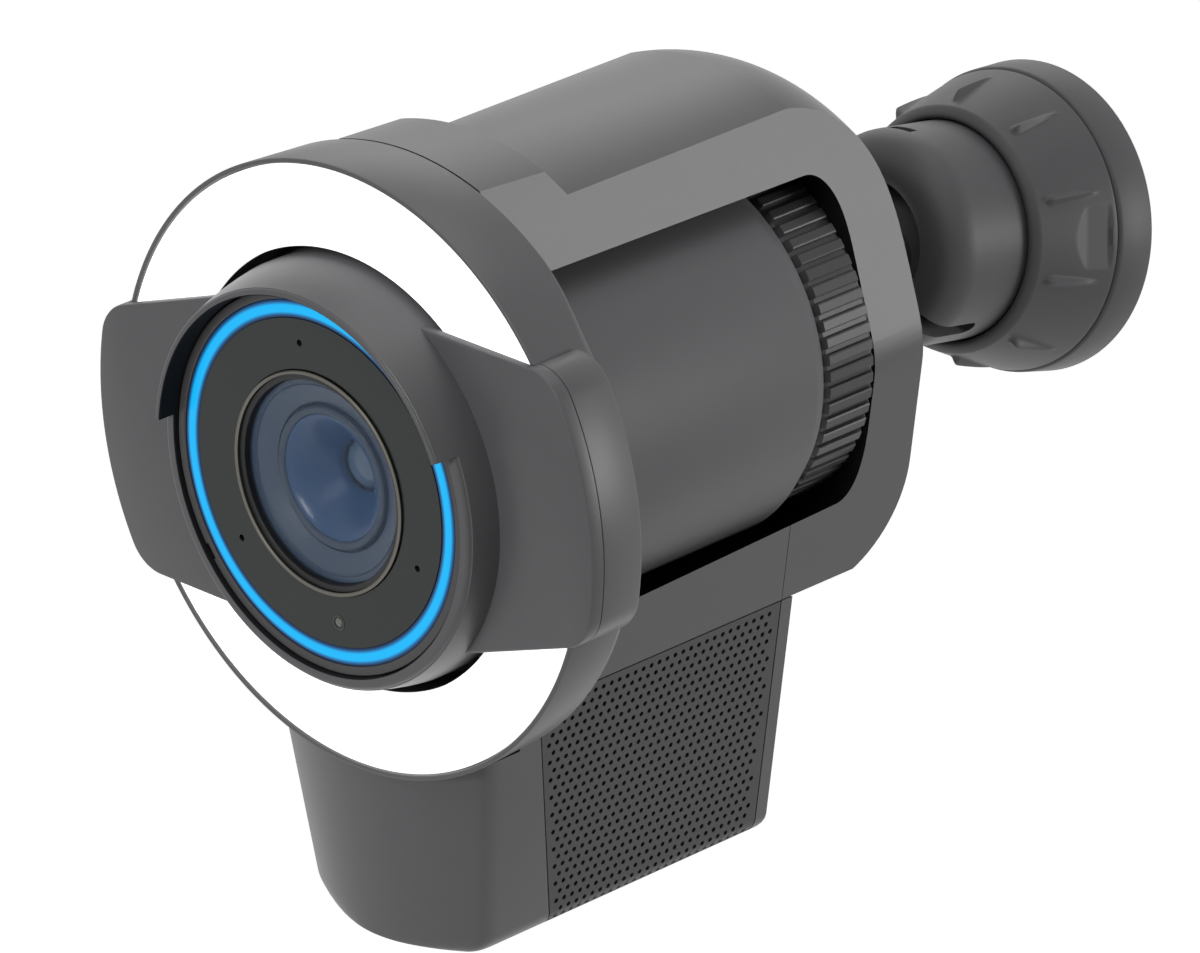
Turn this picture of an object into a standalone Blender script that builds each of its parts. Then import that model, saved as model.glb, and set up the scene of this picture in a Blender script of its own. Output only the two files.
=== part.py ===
"""Floodlight security camera on a ball mount.

The mount is modelled straight out from the wall.  The head is modelled along its own axis,
forward from the centre of the ball, and an empty on the ball tilts it down.  A second empty
rolls the camera inside its frame.  In all three frames x is right, y is up and z is forward.
"""
import math

import bmesh
import bpy
from mathutils import Matrix

MM = 0.001

# Gap between pieces that touch, slide or turn on each other
GAP = 0.3 * MM

# How the head stands in the mount
TILT = math.radians(10.1)
ROLL = math.radians(10.2)

# Wall mount, measured forward from the wall
PLATE_R = 32.1 * MM
PLATE_DRAFT = 0.8 * MM
PLATE_DEPTH = 9.3 * MM
CABLE_HOLE_R = 3.5 * MM
SPIGOT_WALL = 2.6 * MM
SPIGOT_REACH = 8.7 * MM
BALL_AHEAD = 30.5 * MM
PAD_CLEARANCE = 2.2 * MM
PAD_LAND = 2.6 * MM
SCREW_HEAD_R = 3.2 * MM
SCREW_HEAD_T = 2.4 * MM
SCREW_SHANK_R = 2.0 * MM

# Lock ring and its grip fins
RING_LENGTH = 18.6 * MM
RING_STEP = 1.2 * MM
RING_LIP_W = 2.5 * MM
RING_BULGE = 0.25 * MM
RING_LIP_T = 1.2 * MM
FIN_COUNT = 10
FIN_START = math.radians(27.7)
FIN_R = 1.25 * MM
FIN_LENGTH = 13.0 * MM
FIN_FROM_FRONT = 3.6 * MM
FIN_PROUD = 1.2 * MM
THUMB_FLAT_AT = math.radians(9.7)
THUMB_FLAT_W = 22.0 * MM
THUMB_FLAT_LENGTH = 9.0 * MM
THUMB_FLAT_DEPTH = 1.1 * MM
THUMB_FLAT_BACK = 1.5 * MM

# Ball cup
CUP_R = 22.4 * MM
CUP_WALL = 6.6 * MM
CUP_FLANGE_W = 2.2 * MM
CUP_FLANGE_T = 2.2 * MM
CUP_LENGTH = 32.0 * MM
CUP_ROUND = 8.0 * MM
MOUTH_LIP = 2.8 * MM
SLIT_W = 4.0 * MM
SLIT_AT = math.radians(-42.5)
SLIT_LENGTH = 16.0 * MM
NOTCH_W = 6.0 * MM
NOTCH_LENGTH = 2.4 * MM
NOTCH_DEPTH = 0.7 * MM
NOTCH_AT = math.radians(97.0)
NOTCH_FROM_FRONT = 8.6 * MM

# Stem, measured forward from the ball's centre like everything below
NECK_R = 6.5 * MM
SHOULDER_R = 12.0 * MM
SHOULDER_T = 3.0 * MM
SPINDLE_R = 9.7 * MM
NUT_R = 17.0 * MM
NUT_T = 3.0 * MM
HUB_T = 5.6 * MM

# Frame: a vault over the barrel with a rear wall, leaning in to the top and to the bottom
FRAME_BACK = 43.0 * MM
REAR_WALL = 14.0 * MM
VAULT_WALL = 10.0 * MM
BEND_HALF_W = 36.9 * MM
BEND_UP = 0.5 * MM
UPPER_LEAN = 0.305
LOWER_LEAN = 0.135
FOOT_WALL = 0.5 * MM
FRAME_SAG = 1.6 * MM
REAR_ROUND = (28.5 * MM, 22.0 * MM)
FOOT_CORNER = 22.5 * MM
BORE_CLEARANCE = 5.9 * MM
BORE_DRAFT = 1.1 * MM
BORE_ROUND = 9.0 * MM
COLLAR_LENGTH = 17.2 * MM
COLLAR_DRAFT = 0.8 * MM
COLLAR_SLOPE = 4.6 * MM
FOOT_LENGTH = 34.0 * MM

# Floodlight ring
LIGHT_BACK = 150.0 * MM
LIGHT_DEPTH = 16.9 * MM
LIGHT_BAND_W = 16.77 * MM
LIGHT_DRAFT = 0.95 * MM
LIGHT_RIM = 1.07 * MM
LIGHT_LEDGE = 1.3 * MM
LIGHT_INNER_WALL = 1.4 * MM
LIGHT_FLOOR = 2.0 * MM
DIFFUSER_T = 1.5 * MM
LED_BOARD_T = 1.5 * MM

# Speaker box under the frame
BOX_TUCK = 3.1 * MM
BOX_FRONT = 167.2 * MM
BOX_HEIGHT = 54.5 * MM
BOX_ROUND = 4.2 * MM
BOX_CHEEK = 7.7 * MM
BOX_RAKE = 0.118
BOX_WALL = 4.0 * MM
BOX_ROOF = 5.6 * MM
BOX_NOSE = 21.2 * MM
GRILLE_T = 1.8 * MM
GRILLE_SETBACK_TOP = 22.0 * MM
GRILLE_SETBACK_BOTTOM = 31.4 * MM
SPEAKER_R = 18.5 * MM
SPEAKER_RIM = 2.5 * MM
SPEAKER_FLANGE_T = 2.0 * MM
MAGNET_R = 9.0 * MM
MAGNET_T = 6.0 * MM
AUDIO_BOARD = (24.0 * MM, 1.6 * MM, 44.0 * MM)

# Camera barrel and what closes it
BARREL_R = 40.5 * MM
BARREL_WALL = 2.5 * MM
BARREL_IN_HOOD = 10.0 * MM
BARREL_CHAMFER = (2.6 * MM, 5.0 * MM)
KNURL_STEP = 1.3 * MM
KNURL_DEPTH = 1.0 * MM
KNURL_WALL = 6.2 * MM
KNURL_LENGTH = 14.0 * MM
KNURL_CLEARANCE = 1.5 * MM
KNURL_GROOVE = 0.7 * MM
KNURL_RIBS = 68
KNURL_LAND = 0.62
CAP_FLOOR = 3.0 * MM
CAP_WALL = 3.0 * MM
CAP_FLANGE_T = 2.5 * MM

# Hood, visor and wings
HOOD_WALL = 2.5 * MM
HOOD_CLEARANCE = 2.7 * MM
HOOD_SKIRT = 10.9 * MM
HOOD_REACH = 8.9 * MM
HOOD_RIM = 2.1 * MM
HOOD_LIP_W = 2.0 * MM
HOOD_BULGE = 0.3 * MM
VISOR_REACH = 4.0 * MM
VISOR_HALF_ANGLE = math.radians(75.5)
WING_T = 1.6 * MM
WING_WRAP = 11.9 * MM
WING_HALF_H = 28.0 * MM
WING_CORNER = 9.0 * MM
WING_FLARE = math.radians(9.8)
WING_BAND_T = 4.6 * MM
WING_EDGE = 0.6 * MM

# Face and lens
FACE_SET_BACK = 0.9 * MM
FACE_GLASS_T = 1.5 * MM
CARRIER_T = 3.2 * MM
CARRIER_RIM = 1.1 * MM
STATUS_W = 3.3 * MM
STATUS_T = 1.5 * MM
GLASS_BAND_W = 9.6 * MM
BEZEL_W = 1.0 * MM
BEZEL_PROUD = 0.5 * MM
LENS_GLASS_T = 2.2 * MM
LENS_GLASS_BACK = 1.6 * MM
LENS_CROWN = 1.0 * MM
LENS_TUBE_LENGTH = 44.0 * MM
LENS_TUBE_WALL = 7.5 * MM
LENS_SEAT_WALL = 1.0 * MM
LENS_LEDGE = 1.6 * MM
LENS_FUNNEL_LENGTH = 9.0 * MM
ZOOM_LENGTH = 14.0 * MM
ZOOM_TRAVEL = 4.0 * MM
SENSOR_BOARD_T = 1.6 * MM
SENSOR_R = 1.6 * MM
MAIN_BOARD_AHEAD = 4.5 * MM
MAIN_BOARD_T = 1.6 * MM
HEAT_SINK_AHEAD = 9.5 * MM
HEAT_SINK_T = 3.0 * MM
HEAT_FIN = (40.0 * MM, 2.0 * MM, 6.0 * MM)
HEAT_FIN_PITCH = 8.0 * MM
HEAT_FIN_COUNT = 5
SOCKET = (16.0 * MM, 12.0 * MM, 8.0 * MM)

# Radii that follow from the barrel outwards
HOOD_R = BARREL_R + GAP + HOOD_WALL
LIGHT_BORE_R = HOOD_R + HOOD_CLEARANCE
LIGHT_R = LIGHT_BORE_R + LIGHT_BAND_W
BORE_R = BARREL_R + BORE_CLEARANCE
VAULT_R = BORE_R + VAULT_WALL
FRAME_FOOT = BORE_R + FOOT_WALL

# Facets of the round pieces
COARSE = 32
FINE = 48

GREY = "646466"
DARK = "2a2a2c"
BOARD_GREEN = "1f4a2c"


def linear(hex_colour):
    """A hex colour as linear red, green, blue and alpha."""
    channels = [int(hex_colour[i:i + 2], 16) / 255 for i in (0, 2, 4)]
    return [c / 12.92 if c <= 0.04045 else ((c + 0.055) / 1.055) ** 2.4 for c in channels] + [1.0]


def material(name, colour, roughness=0.55, metallic=0.0):
    made = bpy.data.materials.new(name)
    made.use_nodes = True
    shader = made.node_tree.nodes["Principled BSDF"]
    shader.inputs["Base Color"].default_value = linear(colour)
    shader.inputs["Roughness"].default_value = roughness
    shader.inputs["Metallic"].default_value = metallic
    made.diffuse_color = linear(colour)
    return made


def empty(name, collection, parent=None, location=(0, 0, 0), rotation=(0, 0, 0)):
    made = bpy.data.objects.new(name, None)
    made.location = location
    made.rotation_euler = rotation
    made.parent = parent
    collection.objects.link(made)
    return made


def new_object(name, bm, parent):
    """An object from a bmesh, hung on one of the empties."""
    bmesh.ops.recalc_face_normals(bm, faces=bm.faces)
    mesh = bpy.data.meshes.new(name)
    bm.to_mesh(mesh)
    bm.free()
    made = bpy.data.objects.new(name, mesh)
    made.parent = parent
    return made


def as_part(made, colour, roughness=0.55, metallic=0.0, smooth=True):
    """Give an object its material and put it with the parts."""
    made.data.materials.append(material(made.name + "_finish", colour, roughness, metallic))
    if smooth:
        made.data.shade_smooth()
        made.data.set_sharp_from_angle(angle=math.radians(32))
    PARTS.objects.link(made)
    return made


def as_cutter(made):
    made.hide_render = True
    made.display_type = "WIRE"
    CUTTERS.objects.link(made)
    return made


def boolean(made, other, operation="DIFFERENCE"):
    modifier = made.modifiers.new(operation.title() + " " + other.name, "BOOLEAN")
    modifier.object = other
    modifier.operation = operation
    modifier.solver = "EXACT"
    return made


def turned(name, outline, parent, steps=COARSE):
    """Turn an outline of (radius, forward) about the forward axis.

    The outline runs front to back on its outer side.  It closes on itself unless it starts
    and ends on the axis.
    """
    bm = bmesh.new()
    points = [bm.verts.new((r, 0, z)) for r, z in outline]
    for a, b in zip(points, points[1:]):
        bm.edges.new((a, b))
    if outline[0][0] > 0:
        bm.edges.new((points[-1], points[0]))
    mesh = bpy.data.meshes.new(name)
    bm.to_mesh(mesh)
    bm.free()
    made = bpy.data.objects.new(name, mesh)
    made.parent = parent
    screw = made.modifiers.new("Turn", "SCREW")
    screw.axis = "Z"
    screw.angle = math.tau
    screw.steps = steps
    screw.render_steps = steps
    screw.use_merge_vertices = True
    screw.merge_threshold = 0.00001
    screw.use_smooth_shade = True
    return made


def prism(name, outline, start, end, parent):
    """A flat outline of (x, y) drawn out along the forward axis."""
    bm = bmesh.new()
    base = bm.faces.new([bm.verts.new((x, y, start)) for x, y in outline])
    drawn = bmesh.ops.extrude_face_region(bm, geom=[base])
    tops = [item for item in drawn["geom"] if isinstance(item, bmesh.types.BMVert)]
    bmesh.ops.translate(bm, verts=tops, vec=(0, 0, end - start))
    return new_object(name, bm, parent)


def sideways_prism(name, outline, half_width, parent):
    """A side outline of (forward, up) drawn out to both sides."""
    made = prism(name, outline, -half_width, half_width, parent)
    made.data.transform(Matrix(((0, 0, 1, 0), (0, 1, 0, 0), (1, 0, 0, 0), (0, 0, 0, 1))))
    made.data.flip_normals()
    return made


def block(name, low, high, parent):
    """A box between two corners."""
    bm = bmesh.new()
    bmesh.ops.create_cube(bm, size=1)
    size = [b - a for a, b in zip(low, high)]
    middle = [(a + b) / 2 for a, b in zip(low, high)]
    bmesh.ops.transform(bm, matrix=Matrix.LocRotScale(middle, None, size), verts=bm.verts)
    return new_object(name, bm, parent)


def loft(name, rings, parent):
    """A closed skin over rings of equally many points."""
    bm = bmesh.new()
    loops = [[bm.verts.new(point) for point in ring] for ring in rings]
    for near, far in zip(loops, loops[1:]):
        for i in range(len(near)):
            j = (i + 1) % len(near)
            bm.faces.new((near[i], near[j], far[j], far[i]))
    bm.faces.new(loops[0])
    bm.faces.new(loops[-1])
    return new_object(name, bm, parent)


def arc(centre, radii, start, end, count):
    """Points along an ellipse's arc, both ends included; angles in degrees."""
    angles = [math.radians(start + (end - start) * i / count) for i in range(count + 1)]
    return [(centre[0] + radii[0] * math.cos(a), centre[1] + radii[1] * math.sin(a)) for a in angles]


def bowed(start, end, bulge, count):
    """Points from start to end on a shallow curve that stands out by bulge at its middle."""
    run = (end[0] - start[0], end[1] - start[1])
    length = math.hypot(*run)
    out = (-run[1] / length, run[0] / length)
    points = []
    for i in range(count + 1):
        t = i / count
        rise = 4 * bulge * t * (1 - t)
        points.append((start[0] + run[0] * t + out[0] * rise, start[1] + run[1] * t + out[1] * rise))
    return points


def drop(radius, depth):
    """How far a circle of this radius has fallen away at a given depth from its middle."""
    return math.sqrt(max(radius * radius - depth * depth, 0.0))


# Wall mount

FLANGE_R = CUP_R + CUP_FLANGE_W
SPIGOT_R = FLANGE_R + GAP
SPIGOT_END = PLATE_DEPTH + SPIGOT_REACH
SPIGOT_BORE_R = SPIGOT_R - SPIGOT_WALL
BALL_SEAT_R = CUP_R - CUP_WALL
BALL_R = BALL_SEAT_R - GAP
PAD_R = BALL_SEAT_R - PAD_CLEARANCE
MOUTH_R = BALL_SEAT_R - MOUTH_LIP
SCREW_AT = (PAD_R + SPIGOT_BORE_R) / 2
FLANGE_BACK = SPIGOT_END + GAP
FLANGE_FRONT = FLANGE_BACK + CUP_FLANGE_T
RING_BACK = PLATE_DEPTH + GAP
RING_FRONT = RING_BACK + RING_LENGTH
RING_BACK_R = PLATE_R - RING_STEP
RING_FRONT_R = CUP_R + RING_LIP_W


def wall_plate():
    made = turned("wall_plate", [
        (0, PLATE_DEPTH), (SPIGOT_BORE_R, PLATE_DEPTH), (SPIGOT_BORE_R, SPIGOT_END), (SPIGOT_R, SPIGOT_END),
        (SPIGOT_R, PLATE_DEPTH), (PLATE_R - PLATE_DRAFT, PLATE_DEPTH), (PLATE_R, 0), (0, 0)], MOUNT, FINE)
    for name, radius, place in (("screw_hole_left", SCREW_SHANK_R + GAP, (-SCREW_AT, 0, 0)),
                                ("screw_hole_right", SCREW_SHANK_R + GAP, (SCREW_AT, 0, 0)),
                                ("cable_hole", CABLE_HOLE_R, (0, -SCREW_AT, 0))):
        hole = turned(name, [(0, SPIGOT_END), (radius, SPIGOT_END), (radius, -GAP), (0, -GAP)], MOUNT, 16)
        hole.location = place
        boolean(made, as_cutter(hole))
    return as_part(made, GREY, 0.5)


def wall_screw(side):
    seat = PLATE_DEPTH + GAP
    made = turned("wall_screw_%s" % SIDES[side], [
        (0, seat + SCREW_HEAD_T), (SCREW_HEAD_R, seat + SCREW_HEAD_T), (SCREW_HEAD_R, seat),
        (SCREW_SHANK_R, seat), (SCREW_SHANK_R, GAP), (0, GAP)], MOUNT, 16)
    made.location.x = side * SCREW_AT
    return as_part(made, "8c8c8e", 0.35, 1.0)


def pressure_pad():
    seat = [(r, BALL_AHEAD - drop(BALL_SEAT_R, r)) for r in
            [(PAD_R - PAD_LAND) * i / 5 for i in range(6)]]
    back = PLATE_DEPTH + GAP
    return as_part(turned("pressure_pad", seat + [(PAD_R, seat[-1][1]), (PAD_R, back), (0, back)], MOUNT),
                   DARK, 0.8)


def lock_ring():
    thread_r = SPIGOT_R + GAP
    shoulder = FLANGE_FRONT + GAP
    lip_r = CUP_R + GAP
    lip_back = RING_FRONT - RING_LIP_T
    outer = bowed((RING_FRONT_R, lip_back), (RING_BACK_R, RING_BACK), RING_BULGE, 6)
    made = turned("lock_ring", [(lip_r, RING_FRONT), (RING_FRONT_R - RING_LIP_T, RING_FRONT)] + outer + [
        (thread_r, RING_BACK), (thread_r, shoulder), (lip_r, shoulder)], MOUNT, FINE)
    boolean(made, grip_fins(), "UNION")
    boolean(made, thumb_flat())
    return as_part(made, GREY, 0.5)


def ring_radius(forward):
    """The lock ring's outer radius at a distance forward, without its bulge."""
    share = (forward - RING_BACK) / RING_LENGTH
    return RING_BACK_R + (RING_FRONT_R - RING_BACK_R) * share


def grip_fins():
    """Tapered fins lying along the cone, thick at the front and running out at the back."""
    front = RING_FRONT - FIN_FROM_FRONT
    back = front - FIN_LENGTH
    rise = math.atan2(ring_radius(back) - ring_radius(front) - FIN_PROUD, FIN_LENGTH)
    middle_r = (ring_radius(front) + FIN_PROUD + ring_radius(back)) / 2
    bm = bmesh.new()
    for i in range(FIN_COUNT):
        turn = Matrix.Rotation(FIN_START + math.tau * i / FIN_COUNT, 4, "Z")
        place = Matrix.Translation((middle_r, 0, (front + back) / 2)) @ Matrix.Rotation(-rise, 4, "Y")
        bmesh.ops.create_cone(bm, cap_ends=True, segments=8, radius1=FIN_R / 8, radius2=FIN_R,
                              depth=FIN_LENGTH, matrix=turn @ place)
    return as_cutter(new_object("grip_fins", bm, MOUNT))


def thumb_flat():
    """A shallow flat between two fins, with a step at its back."""
    back = RING_BACK + THUMB_FLAT_BACK
    face = ring_radius(back) + RING_BULGE - THUMB_FLAT_DEPTH
    lean = math.atan2(RING_BACK_R - RING_FRONT_R, RING_LENGTH)
    half = THUMB_FLAT_W / 2
    made = block("thumb_flat", (0, -half, 0), (PLATE_R, half, THUMB_FLAT_LENGTH), MOUNT)
    made.data.transform(Matrix.Rotation(THUMB_FLAT_AT, 4, "Z") @ Matrix.Translation((face, 0, back))
                        @ Matrix.Rotation(-lean, 4, "Y"))
    return as_cutter(made)


def ball_cup():
    front = FLANGE_BACK + CUP_LENGTH
    cavity = [(BALL_SEAT_R, FLANGE_BACK), (BALL_SEAT_R, BALL_AHEAD)]
    edge = math.degrees(math.acos(MOUTH_R / BALL_SEAT_R))
    cavity += arc((0, BALL_AHEAD), (BALL_SEAT_R, BALL_SEAT_R), 0, edge, 4)[1:]
    lip = arc((CUP_R - CUP_ROUND, front - CUP_ROUND), (CUP_ROUND, CUP_ROUND), 90, 0, 5)
    made = turned("ball_cup", lip + [
        (CUP_R, FLANGE_FRONT), (FLANGE_R, FLANGE_FRONT), (FLANGE_R, FLANGE_BACK)] + cavity + [
        (MOUTH_R, front - GAP)], MOUNT, FINE)
    boolean(made, cup_cuts(front))
    return as_part(made, GREY, 0.5)


def cup_cuts(front):
    """The slit that lets the cup clamp the ball, and a small index notch near its top."""
    bm = bmesh.new()
    reach = CUP_R + SLIT_LENGTH
    slit = Matrix.LocRotScale((reach / 2, 0, front - SLIT_LENGTH + reach / 2), None, (reach, SLIT_W, reach))
    bmesh.ops.create_cube(bm, size=1, matrix=Matrix.Rotation(SLIT_AT, 4, "Z") @ slit)
    notch = Matrix.LocRotScale((CUP_R, 0, front - NOTCH_FROM_FRONT), None,
                               (2 * NOTCH_DEPTH, NOTCH_W, NOTCH_LENGTH))
    bmesh.ops.create_cube(bm, size=1, matrix=Matrix.Rotation(NOTCH_AT, 4, "Z") @ notch)
    return as_cutter(new_object("cup_cuts", bm, MOUNT))


# Stem

SHOULDER_FRONT = FRAME_BACK - GAP
BORE_BACK = FRAME_BACK + REAR_WALL
NUT_BACK = BORE_BACK + GAP
CAP_BACK = NUT_BACK + NUT_T + GAP
SPINDLE_END = CAP_BACK + HUB_T


def ball_stem():
    neck_meets = math.degrees(math.acos(NECK_R / BALL_R))
    ball = arc((0, 0), (BALL_R, BALL_R), neck_meets, -90, 9)
    ball[-1] = (0, -BALL_R)
    back = SHOULDER_FRONT - SHOULDER_T
    return as_part(turned("ball_stem", [
        (0, SPINDLE_END), (SPINDLE_R, SPINDLE_END), (SPINDLE_R, SHOULDER_FRONT), (SHOULDER_R, SHOULDER_FRONT),
        (SHOULDER_R, back), (NECK_R, back)] + ball, HEAD), GREY, 0.5)


def spindle_nut():
    return as_part(turned("spindle_nut", [
        (NUT_R, NUT_BACK + NUT_T), (NUT_R, NUT_BACK), (SPINDLE_R + GAP, NUT_BACK),
        (SPINDLE_R + GAP, NUT_BACK + NUT_T)], HEAD, 24), "8c8c8e", 0.4, 1.0)


# Frame

FRAME_FRONT = LIGHT_BACK - GAP
COLLAR_BACK = FRAME_FRONT - COLLAR_LENGTH
COLLAR_R = LIGHT_R - LIGHT_DRAFT
FOOT_HALF_W = BEND_HALF_W - LOWER_LEAN * (FRAME_FOOT + BEND_UP)
FRAME_BOTTOM = FRAME_FOOT + FRAME_SAG
FOOT_SEAM = FRAME_BACK + FOOT_LENGTH
BOX_BACK = FOOT_SEAM - BOX_TUCK
BOX_BOTTOM = FRAME_FOOT + BOX_HEIGHT


def side_half_width(up):
    """Half the width over the frame's leaning sides at a height."""
    lean = UPPER_LEAN if up > BEND_UP else -LOWER_LEAN
    return BEND_HALF_W - lean * (up - BEND_UP)


def crease(vault_r):
    """Where a leaning side meets a vault of this radius: x and y."""
    a = 1 + UPPER_LEAN ** 2
    reach = BEND_HALF_W + UPPER_LEAN * BEND_UP
    b = UPPER_LEAN * reach
    up = (b + math.sqrt(b * b - a * (reach * reach - vault_r * vault_r))) / a
    return side_half_width(up), up


def foot_arc():
    """The frame's sagging bottom, left to right."""
    return [(FOOT_HALF_W * t, -FRAME_BOTTOM + FRAME_SAG * t * t) for t in (-1, -0.5, 0, 0.5, 1)]


def frame_section(vault_r):
    """The frame's cross-section, from the middle of the foot round the right side and back."""
    x, up = crease(vault_r)
    edge = math.degrees(math.atan2(up, x))
    foot = foot_arc()[2:]
    soft = FRAME_SAG * 3
    bend = [(side_half_width(height), height) for height in (BEND_UP - soft, BEND_UP + soft)]
    vault = arc((0, 0), (vault_r, vault_r), edge, 90, 5)
    right = foot + bend + vault
    return right + [(-px, py) for px, py in right[-2:0:-1]]


def frame_shell():
    stations = [(FRAME_BACK - BORE_ROUND, VAULT_R), (COLLAR_BACK - COLLAR_SLOPE, VAULT_R),
                (COLLAR_BACK, COLLAR_R - COLLAR_DRAFT), (FRAME_FRONT, COLLAR_R)]
    made = loft("frame_shell", [[(x, y, z) for x, y in frame_section(r)] for z, r in stations], HEAD)
    boolean(made, rear_profile(), "INTERSECT")
    boolean(made, BORE_CUTTER)
    boolean(made, as_cutter(block("foot_cut", (-COLLAR_R, -BOX_BOTTOM, FOOT_SEAM - GAP / 2),
                                  (COLLAR_R, -BOX_ROUND, LIGHT_BACK + LIGHT_DEPTH), HEAD)))
    return as_part(made, GREY, 0.5)


def rear_profile():
    """Rounds the frame's rear: turned about the axis above the bend, a side outline below it."""
    front = LIGHT_BACK + LIGHT_DEPTH
    over = COLLAR_R + LIGHT_R
    length, height = REAR_ROUND
    dome = arc((VAULT_R + GAP - height, FRAME_BACK + length), (height, length), 0, -90, 10)
    made = turned("rear_profile", [(0, front), (over, front), (over, dome[0][1])] + dome + [
        (0, FRAME_BACK)], HEAD, 2 * FINE)
    middle = (FRAME_BACK + FOOT_CORNER, FOOT_CORNER - FRAME_BOTTOM - GAP)
    foot = arc(middle, (FOOT_CORNER, FOOT_CORNER), 180, 270, 7)
    outline = [(front, BEND_UP), (FRAME_BACK, BEND_UP)] + foot + [(foot[-1][0], -over), (front, -over)]
    lower = as_cutter(sideways_prism("foot_profile", outline, over, HEAD))
    return as_cutter(boolean(made, lower, "UNION"))


def bore_cutter():
    """The barrel's bore with its rounded back, and the hole for the spindle."""
    front = LIGHT_BACK + LIGHT_DEPTH
    back = arc((BORE_R - BORE_ROUND, BORE_BACK + BORE_ROUND), (BORE_ROUND, BORE_ROUND), 0, -90, 4)
    hole_r = SPINDLE_R + GAP
    behind = FRAME_BACK - BORE_ROUND
    return as_cutter(turned("frame_bore", [(0, front), (BORE_R + BORE_DRAFT, front)] + back + [
        (hole_r, BORE_BACK), (hole_r, behind), (0, behind)], HEAD, FINE))


# Speaker box

BOX_ROOF_UP = -(BORE_R + BOX_ROOF)
BOX_FLOOR_UP = -(BOX_BOTTOM - BOX_WALL)
BOX_CAVITY_FRONT = BOX_FRONT - BOX_NOSE
GRILLE_TOP = -(FRAME_FOOT + GAP)
GRILLE_BOTTOM = -(BOX_BOTTOM - BOX_ROUND)
GRILLE_BACK = FOOT_SEAM + GAP
GRILLE_FRONT_TOP = BOX_FRONT - GRILLE_SETBACK_TOP
GRILLE_FRONT_BOTTOM = BOX_FRONT - GRILLE_SETBACK_BOTTOM
SPEAKER_UP = (GRILLE_TOP + GRILLE_BOTTOM) / 2
SPEAKER_AHEAD = (2 * GRILLE_BACK + GRILLE_FRONT_TOP + GRILLE_FRONT_BOTTOM) / 4
SIDE_TURN = math.atan(LOWER_LEAN)


def box_plan(up, inset):
    """The box's outline seen from above at a height, with its bowed front."""
    half = side_half_width(up) - inset
    front = BOX_FRONT - BOX_RAKE * (-up - FRAME_FOOT)
    bow = [(half * t, front - BOX_CHEEK * t * t) for t in (-1, -0.75, -0.5, -0.25, 0, 0.25, 0.5, 0.75, 1)]
    points = [(-half, BOX_BACK + inset)] + bow + [(half, BOX_BACK + inset)]
    return [(x, up, z) for x, z in points]


def speaker_box():
    bottom = -(BOX_BOTTOM - BOX_ROUND)
    rings = [box_plan(-FRAME_FOOT / 2, 0), box_plan(-FRAME_FOOT, 0), box_plan(bottom, 0)]
    for angle in (35, 65, 90):
        turn = math.radians(angle)
        rings.append(box_plan(bottom - BOX_ROUND * math.sin(turn), BOX_ROUND * (1 - math.cos(turn))))
    made = loft("speaker_box", rings, HEAD)
    ring_room = turned("ring_room", [
        (0, BOX_FRONT + LIGHT_DEPTH), (LIGHT_R + GAP, BOX_FRONT + LIGHT_DEPTH), (LIGHT_R + GAP, FRAME_FRONT),
        (0, FRAME_FRONT)], HEAD, FINE)
    boolean(made, as_cutter(ring_room))
    boolean(made, BORE_CUTTER)
    foot = [(x, y - GAP) for x, y in foot_arc()]
    boolean(made, as_cutter(prism("foot_room", foot + [(COLLAR_R, foot[-1][1]), (COLLAR_R, 0), (-COLLAR_R, 0),
                                                       (-COLLAR_R, foot[0][1])],
                                  FRAME_BACK, FOOT_SEAM + GAP / 2, HEAD)))
    boolean(made, box_cavity())
    for side in (-1, 1):
        boolean(made, grille_pocket(side))
        boolean(made, speaker_window(side))
    return as_part(made, "606062", 0.55)


def box_cavity():
    rings = []
    for up in (BOX_ROOF_UP, BOX_FLOOR_UP):
        half = side_half_width(up) - BOX_WALL
        rings.append([(-half, up, BOX_BACK + BOX_WALL), (half, up, BOX_BACK + BOX_WALL),
                      (half, up, BOX_CAVITY_FRONT), (-half, up, BOX_CAVITY_FRONT)])
    return as_cutter(loft("box_cavity", rings, HEAD))


def grille_slab(name, side, room, depth, proud):
    """A slab lying in the box's leaning side, grown all round by room."""
    rings = []
    for up, front in ((GRILLE_TOP + room, GRILLE_FRONT_TOP), (GRILLE_BOTTOM - room, GRILLE_FRONT_BOTTOM)):
        face = side_half_width(up)
        inner, outer = side * (face - depth), side * (face + proud)
        rings.append([(inner, up, GRILLE_BACK - room), (outer, up, GRILLE_BACK - room),
                      (outer, up, front + room), (inner, up, front + room)])
    return loft(name, rings, HEAD)


def grille_pocket(side):
    return as_cutter(grille_slab("grille_pocket_%s" % SIDES[side], side, GAP, GRILLE_T + GAP, BOX_ROUND))


def grille(side):
    return as_part(grille_slab("grille_%s" % SIDES[side], side, 0, GRILLE_T, 0), "48484a", 0.6, smooth=False)


def speaker_place(side, inset):
    """From a piece turned about z to one facing out through the box's side."""
    face = side_half_width(SPEAKER_UP) - inset
    lean = Matrix.Rotation(-side * SIDE_TURN, 4, "Z")
    facing = Matrix.Rotation(side * math.pi / 2, 4, "Y")
    return Matrix.Translation((side * face, SPEAKER_UP, SPEAKER_AHEAD)) @ lean @ facing


def speaker_window(side):
    hole_r = SPEAKER_R - SPEAKER_RIM
    made = turned("speaker_window_%s" % SIDES[side], [
        (0, BOX_WALL), (hole_r, BOX_WALL), (hole_r, -BOX_WALL), (0, -BOX_WALL)], HEAD, 24)
    made.matrix_local = speaker_place(side, BOX_WALL)
    return as_cutter(made)


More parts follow.
